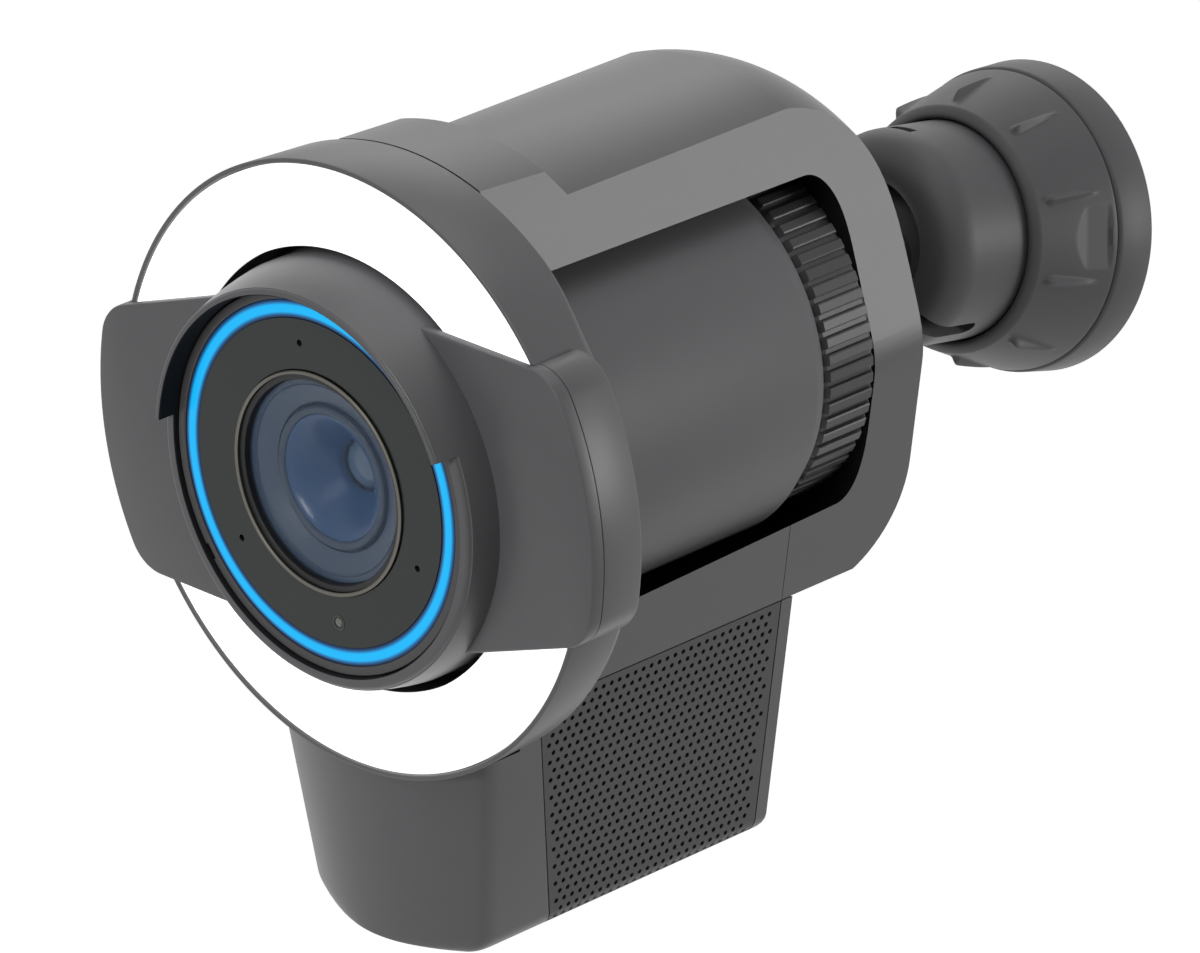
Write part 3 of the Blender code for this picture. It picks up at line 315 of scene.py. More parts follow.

# %% [markdown]
# ## Small tools for shapes
#
# Nearly every piece is turned or cut from a turned one.  `turn` spins an outline of radius and
# height about the forward axis.  `soften` bevels the edges that are sharp, as a mould or a tool
# leaves them.  `combine` joins or cuts two shapes, and `place` moves the finished mesh, hangs it on
# its body and hides the solid it stands for.


# %% Shape helpers
def turn(outline, steps=180):
    """Spin an outline of (radius, forward) in mm about the forward axis."""
    bm = bmesh.new()
    points = [bm.verts.new((r * MM, 0, z * MM)) for r, z in outline]
    edges = [bm.edges.new(pair) for pair in zip(points, points[1:])]
    bmesh.ops.spin(bm, geom=points + edges, axis=(0, 0, 1), cent=(0, 0, 0), steps=steps,
                   angle=math.tau, use_merge=True)
    bmesh.ops.remove_doubles(bm, verts=bm.verts, dist=0.002 * MM)
    bmesh.ops.recalc_face_normals(bm, faces=bm.faces)
    return bm


def ring(outline, steps=180):
    """Spin an outline that closes on itself."""
    return turn(outline + outline[:1], steps)


def soften(bm, width, segments=3, sharp=35, where=None):
    """Bevel the sharp edges, or those whose middle passes a test of (radius, forward) in mm."""
    chosen = []
    for edge in bm.edges:
        if not edge.is_manifold or edge.calc_face_angle() < math.radians(sharp):
            continue
        middle = (edge.verts[0].co + edge.verts[1].co) / 2 / MM
        if where is None or where(math.hypot(middle.x, middle.y), middle.z):
            chosen.append(edge)
    bmesh.ops.bevel(bm, geom=chosen, offset=width * MM, segments=segments, profile=0.5, affect="EDGES",
                    material=-1, clamp_overlap=True)
    return bm


def ring_of(bm, points):
    """A closed loop of edges through points in mm."""
    corners = [bm.verts.new(Vector(p) * MM) for p in points]
    return [bm.edges.new((a, b)) for a, b in zip(corners, corners[1:] + corners[:1])]


def skin(rings):
    """Bridge closed loops of points one to the next and close both ends."""
    bm = bmesh.new()
    loops = [ring_of(bm, ring) for ring in rings]
    for near, far in zip(loops, loops[1:]):
        bmesh.ops.bridge_loops(bm, edges=near + far)
    for end in (loops[0], loops[-1]):
        bmesh.ops.contextual_create(bm, geom=end)
    bmesh.ops.recalc_face_normals(bm, faces=bm.faces)
    return bm


def prism(outline, low, high):
    """A straight block over an outline of (x, y) in mm, between two heights."""
    return skin([[(x, y, z) for x, y in outline] for z in (low, high)])


def block(bearing, radius, height, size):
    """A small block at a bearing, a radius and a height in mm, turned to face the axis."""
    bm = bmesh.new()
    there = Matrix.LocRotScale(Vector((radius, 0, height)) * MM, None, Vector(size) * MM)
    bmesh.ops.create_cube(bm, size=1, matrix=Matrix.Rotation(math.radians(bearing), 4, "Z") @ there)
    return bm


def combine(bm, tool, operation="DIFFERENCE"):
    """Cut, join or intersect two closed shapes; both are used up."""
    pair = []
    for shape in (bm, tool):
        mesh = bpy.data.meshes.new("stock")
        shape.to_mesh(mesh)
        shape.free()
        pair.append(bpy.data.objects.new("stock", mesh))
        bpy.context.scene.collection.objects.link(pair[-1])
    stock, other = pair
    cut = stock.modifiers.new("cut", "BOOLEAN")
    cut.object, cut.operation, cut.solver = other, operation, "EXACT"
    result = bmesh.new()
    result.from_object(stock, bpy.context.evaluated_depsgraph_get())
    for used in pair:
        mesh = used.data
        bpy.data.objects.remove(used)
        bpy.data.meshes.remove(mesh)
    bmesh.ops.remove_doubles(result, verts=result.verts, dist=0.01 * MM)
    bmesh.ops.dissolve_degenerate(result, edges=result.edges, dist=0.01 * MM)
    return result


def line_inside(bm, radius, beyond):
    """Mark the faces near the forward axis that do not look outwards, for a lining of painted shade."""
    bm.normal_update()
    for face in bm.faces:
        middle = face.calc_center_median() / MM
        across = Vector((middle.x, middle.y, 0))
        inward = across.length < radius and face.normal.dot(across) < 0.2 * across.length
        face.material_index = int(inward and middle.z > beyond)


def place(name, bm, where, finish, body, nodes=(), slot="grey_housing", sharp=38, lining=None):
    """Put a finished shape in its place as an object that rides on a body; index 1 faces take a lining."""
    bmesh.ops.transform(bm, matrix=where, verts=bm.verts)
    mesh = bpy.data.meshes.new(name)
    bm.to_mesh(mesh)
    bm.free()
    mesh.shade_smooth()
    mesh.set_sharp_from_angle(angle=math.radians(sharp))
    mesh.materials.append(finish)
    if lining:
        mesh.materials.append(lining)
    made = bpy.data.objects.new(name, mesh)
    bpy.context.scene.collection.objects.link(made)
    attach(made, body)
    if nodes:
        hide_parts(*nodes)
    print("%-18s %6d faces on %s" % (name, len(mesh.polygons), body))
    return made


def arc(centre, radii, start, end, count):
    """Points on an ellipse's arc, both ends included; angles in degrees."""
    angles = [math.radians(start + (end - start) * i / count) for i in range(count + 1)]
    return [(centre[0] + radii[0] * math.cos(a), centre[1] + radii[1] * math.sin(a)) for a in angles]


def ease(t):
    """A smooth step from 0 to 1."""
    t = min(max(t, 0.0), 1.0)
    return t * t * (3 - 2 * t)


print("half of an eased step is", ease(0.5))

# %% [markdown]
# ## Wall plate
#
# A low round casting sits on the wall.  It is turned, with a little draft, and its front edge is
# rounded.  A spigot inside carries the lock ring.  Two screw holes and a cable hole go through it.

# %% Wall plate
PLATE_R, PLATE_DRAFT, PLATE_DEPTH = 32.1, 0.8, 9.3
SPIGOT_R, SPIGOT_BORE_R, SPIGOT_END = 24.9, 22.3, 18.0
SCREW_AT, SCREW_HOLE_R, CABLE_HOLE_R = 17.95, 2.3, 3.5

plate = turn([(0, PLATE_DEPTH), (SPIGOT_BORE_R, PLATE_DEPTH), (SPIGOT_BORE_R, SPIGOT_END),
              (SPIGOT_R, SPIGOT_END), (SPIGOT_R, PLATE_DEPTH), (PLATE_R - PLATE_DRAFT, PLATE_DEPTH),
              (PLATE_R, 0), (0, 0)])
soften(plate, 0.9, where=lambda r, z: r > SPIGOT_R + 1)
for radius, x, y in ((SCREW_HOLE_R, -SCREW_AT, 0), (SCREW_HOLE_R, SCREW_AT, 0), (CABLE_HOLE_R, 0, -SCREW_AT)):
    drill = turn([(0, PLATE_DEPTH + 1), (radius, PLATE_DEPTH + 1), (radius, -1), (0, -1)], 32)
    bmesh.ops.translate(drill, verts=drill.verts, vec=(x * MM, y * MM, 0))
    plate = combine(plate, drill)
place("plate_casting", plate, MOUNT, cast_grey, "base", ["wall_plate"], "grey_mount")

# %% [markdown]
# ## Lock ring
#
# The ring that clamps the ball is a cone with ten grip ridges.  Each ridge is a drop: a round, thick
# front end that runs out to nothing at the back, and it flows into the cone.  Turning a fine skin
# and then raising its points gives that soft meeting, which separate fins stuck on would not.  A
# thumb flat is pressed into the cone the same way.

# %% Lock ring
RING_BACK, RING_FRONT = 9.6, 28.2
RING_BACK_R, RING_FRONT_R = 30.9, 24.9
RING_BULGE = 0.25
RIDGES, RIDGE_START = 10, 27.7
RIDGE_FRONT, RIDGE_LENGTH, RIDGE_HALF_W, RIDGE_RISE = 24.9, 11.8, 1.3, 2.0
THUMB_AT, THUMB_BACK, THUMB_LENGTH, THUMB_DEPTH = 9.7, 11.1, 8.5, 0.75


def cone_radius(z):
    """The plain cone's radius at a height, with its slight bulge."""
    t = (z - RING_BACK) / (RING_FRONT - RING_BACK)
    return RING_BACK_R + (RING_FRONT_R - RING_BACK_R) * t + 4 * RING_BULGE * t * (1 - t)


def ridge_height(angle, z, radius):
    """How far the nearest grip ridge lifts the skin."""
    step = 360.0 / RIDGES
    off = (angle - RIDGE_START + step / 2) % step - step / 2
    aside = math.radians(off) * radius
    along = (RIDGE_FRONT - z) / RIDGE_LENGTH
    if not 0.0 < along < 1.0:
        return 0.0
    nose = math.sqrt(min(along / 0.12, 1.0) * (2 - min(along / 0.12, 1.0)))
    half = RIDGE_HALF_W * (1.0 - 0.55 * along) * nose
    if half <= 0 or abs(aside) >= half:
        return 0.0
    return RIDGE_RISE * (1 - along) ** 0.8 * nose * (1 - abs(aside) / half) ** 1.1


def thumb_face(angle, z, radius):
    """The radius left by the thumb flat, which lies parallel to the cone."""
    ahead = z - THUMB_BACK
    if not 0.0 < ahead < THUMB_LENGTH:
        return radius
    depth = THUMB_DEPTH * (1 - ease((ahead - THUMB_LENGTH * 0.55) / (THUMB_LENGTH * 0.45)))
    flat = (cone_radius(z) - depth) / math.cos(math.radians(angle - THUMB_AT))
    return min(radius, flat) if abs(angle - THUMB_AT) < 60 else radius


slope = [RING_FRONT - 1.2 - i * 0.36 for i in range(48)]
lock = ring([(22.7, 20.8), (22.7, RING_FRONT - 0.5), (23.0, RING_FRONT - 0.1), (23.4, RING_FRONT),
             (23.8, RING_FRONT - 0.1), (24.3, RING_FRONT - 0.35), (24.75, RING_FRONT - 0.75)]
            + [(cone_radius(z), z) for z in slope]
            + [(RING_BACK_R - 0.1, RING_BACK + 0.1), (RING_BACK_R - 0.3, RING_BACK), (25.2, RING_BACK),
               (25.2, 20.8)], 600)
for vert in lock.verts:
    radius = math.hypot(vert.co.x, vert.co.y) / MM
    height = vert.co.z / MM
    if radius < cone_radius(height) - 0.05 or height > RING_FRONT - 1.0:
        continue
    bearing = math.degrees(math.atan2(vert.co.y, vert.co.x))
    shaped = thumb_face(bearing, height, radius) + ridge_height(bearing, height, radius)
    vert.co.xy *= shaped / radius
place("lock_collar", lock, MOUNT, cast_grey, "lock", ["lock_ring"], "grey_mount", 50)

# %% [markdown]
# ## Ball cup and stem
#
# The cup is turned with a rounded front.  A slit with a round end lets it close on the ball, and a
# shallow notch near its top marks the middle.  The stem behind it is one turned piece with the ball.

# %% Ball cup and stem
CUP_R, CUP_BACK, CUP_FRONT, CUP_ROUND = 22.4, 18.3, 50.3, 8.0
MOUTH_R, SEAT_R = 13.0, 15.8
BALL_R, NECK_R = 15.5, 6.5
SLIT_AT, SLIT_END, SLIT_HALF_W = -42.5, 36.3, 2.0
NOTCH_AT, NOTCH_Z, NOTCH_SIZE = 97.0, 41.7, (1.4, 6.0, 2.4)

mouth = math.degrees(math.acos(MOUTH_R / SEAT_R))
cup = ring(arc((CUP_R - CUP_ROUND, CUP_FRONT - CUP_ROUND), (CUP_ROUND, CUP_ROUND), 90, 0, 14)
           + [(CUP_R, 20.5), (24.6, 20.5), (24.6, CUP_BACK), (SEAT_R, CUP_BACK), (SEAT_R, BALL_AHEAD / MM)]
           + arc((0, BALL_AHEAD / MM), (SEAT_R, SEAT_R), 0, mouth, 10)[1:]
           + [(MOUTH_R, CUP_FRONT - 0.6)], 160)
slot = prism(arc((SLIT_END, 0), (SLIT_HALF_W, SLIT_HALF_W), 90, 270, 12)
             + [(70, -SLIT_HALF_W), (70, SLIT_HALF_W)], 8, 40)
swap_x_and_z = Matrix(((0, 0, 1, 0), (0, 1, 0, 0), (1, 0, 0, 0), (0, 0, 0, 1)))
turned = Matrix.Rotation(math.radians(SLIT_AT), 4, "Z")
bmesh.ops.transform(slot, matrix=turned @ swap_x_and_z, verts=slot.verts)
bmesh.ops.recalc_face_normals(slot, faces=slot.faces)
cup = combine(cup, slot)
cup = combine(cup, block(NOTCH_AT, CUP_R, NOTCH_Z, NOTCH_SIZE))
place("cup_casting", cup, MOUNT, cast_grey, "cup", ["ball_cup"], "grey_mount")

ball = arc((0, 0), (BALL_R, BALL_R), math.degrees(math.acos(NECK_R / BALL_R)), -90, 24)
stem = turn([(0, 66.2), (9.4, 66.2), (9.7, 65.9), (9.7, 42.7), (11.6, 42.7), (12.0, 42.3), (12.0, 40.1),
             (11.6, 39.7), (8.0, 39.7), (7.0, 39.2), (NECK_R, 38.0)] + ball[:-1] + [(0, -BALL_R)], 96)
place("ball_and_stem", stem, HEAD, cast_grey, "head", ["ball_stem"], "grey_mount")

# %% [markdown]
# ## Frame
#
# The frame is a vault over the barrel with a rounded back wall.  Its sides lean in, and the bore for
# the barrel is wider than the sides are apart, so each side opens into a window.  A skin is bridged
# over four cross-sections, cut to its rounded back, then bored.  Below, a closer bore leaves a higher
# sill under each window.  The inside is lined black as painted shade, for the dark of the deep gaps
# round the barrel.

# %% Frame
FRAME_BACK, FRAME_FRONT = 43.0, 149.7
VAULT_R, BORE_R, BORE_DRAFT, BORE_BACK, BORE_ROUND = 56.33, 46.4, 1.1, 57.0, 9.0
BEND_HALF_W, BEND_UP, UPPER_LEAN, LOWER_LEAN = 36.9, 0.5, 0.305, 0.135
FRAME_FOOT, FRAME_SAG = 46.9, 1.6
SILL_R, SILL_DRAFT, SILL_ROUND, SILL_SPLIT = 44.2, 2.5, 7.0, -16
REAR_LENGTH, REAR_HEIGHT, FOOT_CORNER = 28.5, 22.0, 22.5
COLLAR_BACK, COLLAR_R, COLLAR_DRAFT, COLLAR_SLOPE = 132.5, 61.82, 0.8, 4.6
FOOT_SEAM, BOX_TOP = 77.0, -4.2
LIGHT_FRONT = 166.9


def side_half_width(up):
    """Half the width over the leaning sides at a height."""
    return BEND_HALF_W - (UPPER_LEAN if up > BEND_UP else -LOWER_LEAN) * (up - BEND_UP)


def frame_section(vault_r):
    """The frame's cross-section, from the middle of the foot round the right side and back."""
    a = 1 + UPPER_LEAN ** 2
    reach = BEND_HALF_W + UPPER_LEAN * BEND_UP
    b = UPPER_LEAN * reach
    up = (b + math.sqrt(b * b - a * (reach * reach - vault_r * vault_r))) / a
    edge = math.degrees(math.atan2(up, side_half_width(up)))
    half = side_half_width(-FRAME_FOOT)
    foot = [(half * t, -FRAME_FOOT - FRAME_SAG * (1 - t * t)) for t in (0, 0.2, 0.4, 0.6, 0.8, 1)]
    soft = 5.0
    low, high = [(side_half_width(h), h) for h in (BEND_UP - soft, BEND_UP + soft)]
    bend = [((1 - t) ** 2 * low[0] + 2 * t * (1 - t) * BEND_HALF_W + t * t * high[0],
             (1 - t) ** 2 * low[1] + 2 * t * (1 - t) * BEND_UP + t * t * high[1])
            for t in (0, 0.17, 0.33, 0.5, 0.67, 0.83, 1)]
    right = foot + bend + arc((0, 0), (vault_r, vault_r), edge, 90, 28)
    return right + [(-x, y) for x, y in right[-2:0:-1]]


stations = [(34.0, VAULT_R), (COLLAR_BACK - COLLAR_SLOPE, VAULT_R),
            (COLLAR_BACK, COLLAR_R - COLLAR_DRAFT), (FRAME_FRONT, COLLAR_R)]
shell = skin([[(x, y, z) for x, y in frame_section(r)] for z, r in stations])
rear_z = FRAME_BACK + REAR_LENGTH
dome = turn([(0, 180), (120, 180), (120, rear_z)]
            + arc((VAULT_R + 0.3 - REAR_HEIGHT, rear_z), (REAR_HEIGHT, REAR_LENGTH), 0, -90, 30)
            + [(0, FRAME_BACK)], 240)
heel_y = FOOT_CORNER - FRAME_FOOT - FRAME_SAG - 0.3
heel = arc((FRAME_BACK + FOOT_CORNER, heel_y), (FOOT_CORNER, FOOT_CORNER), 180, 270, 20)
lower = skin([[(x, y, z) for z, y in [(180, BEND_UP), (FRAME_BACK, BEND_UP)] + heel
               + [(heel[-1][0], -120), (180, -120)]] for x in (-120, 120)])
shell = combine(shell, combine(dome, lower, "UNION"), "INTERSECT")


def bore_cutter(radius, draft, rounded):
    """A drafted bore with a rounded bottom, and the small hole behind it."""
    return turn([(0, 180), (radius + draft, 180)]
                + arc((radius - rounded, BORE_BACK + rounded), (rounded, rounded), 0, -90, 12)
                + [(10.0, BORE_BACK), (10.0, 30), (0, 30)], 180)


def bored(body):
    """Bore a body for the barrel: wide above, and close to the barrel below its side windows."""
    below = prism([(-70, SILL_SPLIT), (70, SILL_SPLIT), (70, -70), (-70, -70)], 20, 200)
    wide = combine(bore_cutter(BORE_R, BORE_DRAFT, BORE_ROUND), below)
    return combine(body, combine(wide, bore_cutter(SILL_R, SILL_DRAFT, SILL_ROUND), "UNION"))


shell = bored(shell)
shell = combine(shell, prism([(-100, BOX_TOP), (100, BOX_TOP), (100, -137), (-100, -137)], FOOT_SEAM, 183))
# The bore's inside and the back wall's forward faces are lined black as painted shade.
line_inside(shell, BORE_R + BORE_DRAFT + 0.05, FRAME_BACK + 2)
for face in shell.faces:
    if face.normal.z > 0.4 and FRAME_BACK + 2 < face.calc_center_median().z / MM < 90:
        face.material_index = 1
place("frame_moulding", shell, HEAD, housing, "head", ["frame_shell"], sharp=30, lining=painted_shade_black)

# %% [markdown]
# ## Flood ring
#
# The ring that holds the light is turned, slightly conical and rounded at the back.  Where it meets
# the frame's collar at the top it is flush, so its rear edge is drawn in only below that.  A flange
# at the back closes the gap round the barrel.  The opal cover lies in the front, level with the rim.

# %% Flood ring
LIGHT_BACK, LIGHT_R, LIGHT_BACK_R, LIGHT_RIM = 150.0, 62.77, 61.82, 1.07
LIGHT_BORE_R, SHIELD_R, COVER_SEAT = 45.2, 41.7, 165.1
REAR_EDGE, FLUSH_EDGE, FLUSH_TO, EASED_BY = 3.0, 0.25, 35, 20

corner = arc((0, 0), (1, 1), 0, -90, 6)
rim_r = LIGHT_R - LIGHT_RIM
outline = [(rim_r, COVER_SEAT), (rim_r, LIGHT_FRONT - 0.2), (rim_r + 0.2, LIGHT_FRONT),
           (LIGHT_R - 0.4, LIGHT_FRONT), (LIGHT_R - 0.12, LIGHT_FRONT - 0.12), (LIGHT_R, LIGHT_FRONT - 0.4)]
rings = ring(outline + [(LIGHT_BACK_R + 0.06, LIGHT_BACK + 1.0)]
             + [(LIGHT_BACK_R - 1 + x, LIGHT_BACK + 1 + y) for x, y in corner]
             + [(SHIELD_R, LIGHT_BACK), (SHIELD_R, LIGHT_BACK + 1.5), (LIGHT_BORE_R, LIGHT_BACK + 1.5),
                (LIGHT_BORE_R, COVER_SEAT)], 240)
for vert in rings.verts:
    radius = math.hypot(vert.co.x, vert.co.y) / MM
    back = vert.co.z / MM - LIGHT_BACK
    if back > 1.01 or radius < LIGHT_BACK_R - 1.01:
        continue
    bearing = abs(math.degrees(math.atan2(vert.co.x, vert.co.y)))
    size = FLUSH_EDGE + (REAR_EDGE - FLUSH_EDGE) * ease((bearing - FLUSH_TO) / EASED_BY)
    vert.co.z = (LIGHT_BACK + back * size) * MM
    vert.co.xy *= (LIGHT_BACK_R - (LIGHT_BACK_R - radius) * size) / radius
# The ring's bore is lined dark grey as painted shade in the gap round the hood.
line_inside(rings, LIGHT_BORE_R + 0.5, LIGHT_BACK - 1)
place("flood_ring", rings, HEAD, housing, "head", ["light_ring"], lining=dark_grey_and_bore_shade)

cover_r, cover_back = rim_r - 0.3, COVER_SEAT + 0.1
cover = ring([(cover_r, cover_back), (cover_r, LIGHT_FRONT - 0.4), (cover_r - 0.4, LIGHT_FRONT),
              (LIGHT_BORE_R + 0.3, LIGHT_FRONT), (LIGHT_BORE_R, LIGHT_FRONT - 0.3),
              (LIGHT_BORE_R, cover_back)])
place("opal_cover", cover, HEAD, flood_white, "head", ["diffuser"], "white_diffuser")

# %% [markdown]
# ## Speaker box
#
# The box under the frame has leaning sides, a bowed and raked front and rounded lower edges.  It
# starts as one flat outline seen from above, drawn down and narrowed.  The ring, the barrel's bore
# and a pocket for each grille are then cut out of it.

# %% Speaker box
BOX_BACK, BOX_FRONT, BOX_BOTTOM = 73.9, 167.2, 101.4
BOX_ROUND, BOX_CHEEK, BOX_RAKE, BOX_SOFT = 4.2, 7.7, 0.118, 3.4
GRILLE_TOP, GRILLE_BOTTOM, GRILLE_BACK = -47.2, -97.2, 77.3
GRILLE_FRONT_TOP, GRILLE_FRONT_BOTTOM = 145.2, 135.8
GRILLE_T, GRILLE_GAP, BELOW = 1.8, 0.3, 12


def box_plan(up, inset):
    """The box's outline from above at a height, with its bowed front."""
    half = side_half_width(up) - inset
    front = BOX_FRONT - BOX_RAKE * (-up - FRAME_FOOT)
    bow = [(half * t, front - BOX_CHEEK * t * t) for t in [0.94 * (i / 12 - 1) for i in range(25)]]
    cheek = []
    for share in (0.15, 0.35, 0.55, 0.75, 1.0):
        back = bow[-1][0] * (1 - share) ** 2 + half * (1 - (1 - share) ** 2)
        cheek.append((back, bow[-1][1] * (1 - share) ** 2 + (front - BOX_CHEEK) * 2 * share * (1 - share)
                      + (front - BOX_CHEEK - BOX_SOFT) * share ** 2))
    bow = [(-x, z) for x, z in reversed(cheek)] + bow + cheek
    return [(x, up, z) for x, z in [(-half, BOX_BACK + inset)] + bow + [(half, BOX_BACK + inset)]]


low_edge = -(BOX_BOTTOM - BOX_ROUND)
plans = [box_plan(up, 0) for up in (-23.0, -FRAME_FOOT, -70.0, low_edge)]
for angle in (15, 30, 45, 60, 75, 90):
    bend = math.radians(angle)
    plans.append(box_plan(low_edge - BOX_ROUND * math.sin(bend), BOX_ROUND * (1 - math.cos(bend))))
box = skin(plans)
ring_r = LIGHT_R + 0.3
box = combine(box, turn([(0, 190), (ring_r, 190), (ring_r, FRAME_FRONT), (0, FRAME_FRONT)], 240))
box = bored(box)
half = side_half_width(-FRAME_FOOT)
foot = [(half * t, -FRAME_FOOT - 0.3 - FRAME_SAG * (1 - t * t)) for t in (-1, -0.6, -0.2, 0.2, 0.6, 1)]
over_foot = foot + [(70, foot[-1][1]), (70, 0), (-70, 0), (-70, foot[0][1])]
box = combine(box, prism(over_foot, 40, FOOT_SEAM + 0.15))


def grille_slab(side, room, depth):
    """The room for a grille in the box's leaning side, open below and grown all round by a margin."""
    slab = []
    lean = (GRILLE_FRONT_TOP - GRILLE_FRONT_BOTTOM) / (GRILLE_TOP - GRILLE_BOTTOM)
    for up, front in ((GRILLE_TOP + room, GRILLE_FRONT_TOP),
                      (GRILLE_BOTTOM - BELOW, GRILLE_FRONT_BOTTOM - BELOW * lean)):
        inner, outer = side * (side_half_width(up) - depth), side * (side_half_width(up) + 6.0)
        slab.append([(inner, up, GRILLE_BACK - room), (outer, up, GRILLE_BACK - room),
                     (outer, up, front + room), (inner, up, front + room)])
    return skin(slab)


for side in (-1, 1):
    box = combine(box, grille_slab(side, GRILLE_GAP, GRILLE_T + GRILLE_GAP))
# The box's bore faces are lined black as painted shade.
line_inside(box, BORE_R + BORE_DRAFT + 0.05, 60)
place("speaker_housing", box, HEAD, housing, "head", ["speaker_box"], sharp=30, lining=painted_shade_black)

# %% [markdown]
# ## Grilles
#
# Each grille is a sheet punched with small round holes in staggered rows, over black cloth.  The
# outline and all the holes are drawn as loops on a flat sheet and filled in one go, which leaves the
# holes open.  The sheet is then drawn out to its thickness, its foot is bent round the box's lower
# edge, and it is laid in the box's side.

# %% Grilles
HOLE_PITCH, ROW_PITCH, HOLE_R, GRILLE_MARGIN = 2.24, 2.12, 0.56, 1.9
SHEET_T, CLOTH_T = 1.2, 0.3


def punched(outline, holes, radius, depth, sides=10):
    """A flat sheet in the xy plane with round holes, drawn out by a depth in mm."""
    bm = bmesh.new()
    for loop in outline:
        ring_of(bm, [(x, y, 0) for x, y in loop])
    for x, y in holes:
        bmesh.ops.create_circle(bm, segments=sides, radius=radius * MM,
                                matrix=Matrix.Translation((x * MM, y * MM, 0)))
    bmesh.ops.triangle_fill(bm, use_beauty=True, edges=bm.edges, normal=(0, 0, 1))
    sheet = bmesh.ops.extrude_face_region(bm, geom=bm.faces[:])
    moved = [item for item in sheet["geom"] if isinstance(item, bmesh.types.BMVert)]
    bmesh.ops.translate(bm, verts=moved, vec=(0, 0, -depth * MM))
    bmesh.ops.recalc_face_normals(bm, faces=bm.faces)
    return bm


slant = math.hypot(1, LOWER_LEAN)
grille_h = (GRILLE_TOP - GRILLE_BOTTOM) * slant


def grille_front(down):
    """Where the sheet's slanted front edge is at a distance down the side."""
    return GRILLE_FRONT_TOP + (GRILLE_FRONT_BOTTOM - GRILLE_FRONT_TOP) * down / grille_h


WRAP = BOX_ROUND * math.radians(60)
levels = [0] + [grille_h + WRAP * i / 6 for i in range(7)]
sheet_outline = [(grille_front(down), -down) for down in levels]
sheet_outline += [(GRILLE_BACK, -down) for down in reversed(levels)]


def wrap_under(bm):
    """Bend the sheet's foot round the box's lower edge."""
    for vert in bm.verts:
        past = -vert.co.y / MM - grille_h
        if past > 0:
            reach = BOX_ROUND * MM + vert.co.z
            vert.co.y = -grille_h * MM - reach * math.sin(past / BOX_ROUND)
            vert.co.z = reach * math.cos(past / BOX_ROUND) - BOX_ROUND * MM
    return bm


hole_places = []
for row in range(int((grille_h + WRAP - 1.5 * GRILLE_MARGIN) / ROW_PITCH) + 1):
    down = GRILLE_MARGIN + row * ROW_PITCH
    along = grille_front(down) - GRILLE_MARGIN - (row % 2) * HOLE_PITCH / 2
    while along > GRILLE_BACK + GRILLE_MARGIN:
        hole_places.append((along, -down))
        along -= HOLE_PITCH
print(len(hole_places), "holes in each grille")


def side_place(side, inset):
    """From the flat sheet, x along the axis and y up, to the box's leaning side."""
    top = Vector((side * (side_half_width(GRILLE_TOP) - inset), GRILLE_TOP, 0)) * MM
    up = Vector((side * LOWER_LEAN, 1, 0)).normalized()
    along = Vector((0, 0, 1))
    out = Vector((side, 0, 0)) - up * up.dot(Vector((side, 0, 0)))
    turned = Matrix((along, up, out.normalized())).transposed().to_4x4()
    return HEAD @ Matrix.Translation(top) @ turned


for side, hand in ((-1, "left"), (1, "right")):
    sheet = wrap_under(punched([sheet_outline], hole_places, HOLE_R, SHEET_T))
    place("grille_sheet_" + hand, sheet, side_place(side, 0), mesh_grey, "head", ["grille_" + hand],
          "dark_mesh")
    backing = wrap_under(punched([sheet_outline], [], 0, CLOTH_T))
    place("grille_cloth_" + hand, backing, side_place(side, SHEET_T + 0.2), cloth, "head", (),
          "black_plastic")

# %% [markdown]
# ## Barrel and coupling ring
#
# The barrel is a plain turned tube with a chamfered back.  Behind it a ribbed ring turns freely.
# One rib is drawn, chamfered at both ends, and spun round as copies, so all of them are the same.

# %% Barrel and coupling ring
BARREL_R, BARREL_BACK, BARREL_FRONT = 40.5, 73.2, 166.0
KNURL_R, KNURL_DEPTH, KNURL_BACK, KNURL_FRONT, KNURL_BORE_R = 38.2, 0.9, 58.5, 72.5, 33.0
RIBS = 68

barrel = ring([(BARREL_R, BARREL_FRONT), (BARREL_R, 78.2), (37.9, BARREL_BACK), (KNURL_BORE_R, BARREL_BACK),
               (KNURL_BORE_R, 75.7), (38.0, 75.7), (38.0, BARREL_FRONT)], 200)
soften(barrel, 0.6, where=lambda r, z: r > 37.5 and z < 80)
place("barrel_tube", barrel, CAMERA, barrel_grey, "camera", ["barrel_shell"])

step = math.tau / RIBS
root_r = KNURL_R - KNURL_DEPTH
rib = bmesh.new()
rows = []
for z, drop in ((KNURL_BACK, 1.4), (KNURL_BACK + 0.9, 0.0), (KNURL_FRONT - 0.9, 0.0), (KNURL_FRONT, 1.4)):
    row = []
    for radius, share in ((root_r, 0.0), (root_r, 0.14), (KNURL_R - 0.18, 0.19), (KNURL_R, 0.27),
                          (KNURL_R, 0.73), (KNURL_R - 0.18, 0.81), (root_r, 0.86), (root_r, 1.0)):
        radius = min(radius, KNURL_R - drop)
        across, aside = radius * math.cos(share * step), radius * math.sin(share * step)
        row.append(rib.verts.new(Vector((across, aside, z)) * MM))
    rows.append([rib.edges.new(pair) for pair in zip(row, row[1:])])
for near, far in zip(rows, rows[1:]):
    bmesh.ops.bridge_loops(rib, edges=near + far)
for end in (rows[0], rows[-1]):
    inner = bmesh.ops.extrude_edge_only(rib, edges=end)
    for vert in [v for v in inner["geom"] if isinstance(v, bmesh.types.BMVert)]:
        vert.co.xy *= KNURL_BORE_R * MM / vert.co.xy.length
bmesh.ops.spin(rib, geom=rib.verts[:] + rib.edges[:] + rib.faces[:], axis=(0, 0, 1), cent=(0, 0, 0),
               steps=RIBS, angle=math.tau, use_duplicate=True)
bmesh.ops.remove_doubles(rib, verts=rib.verts, dist=0.005 * MM)
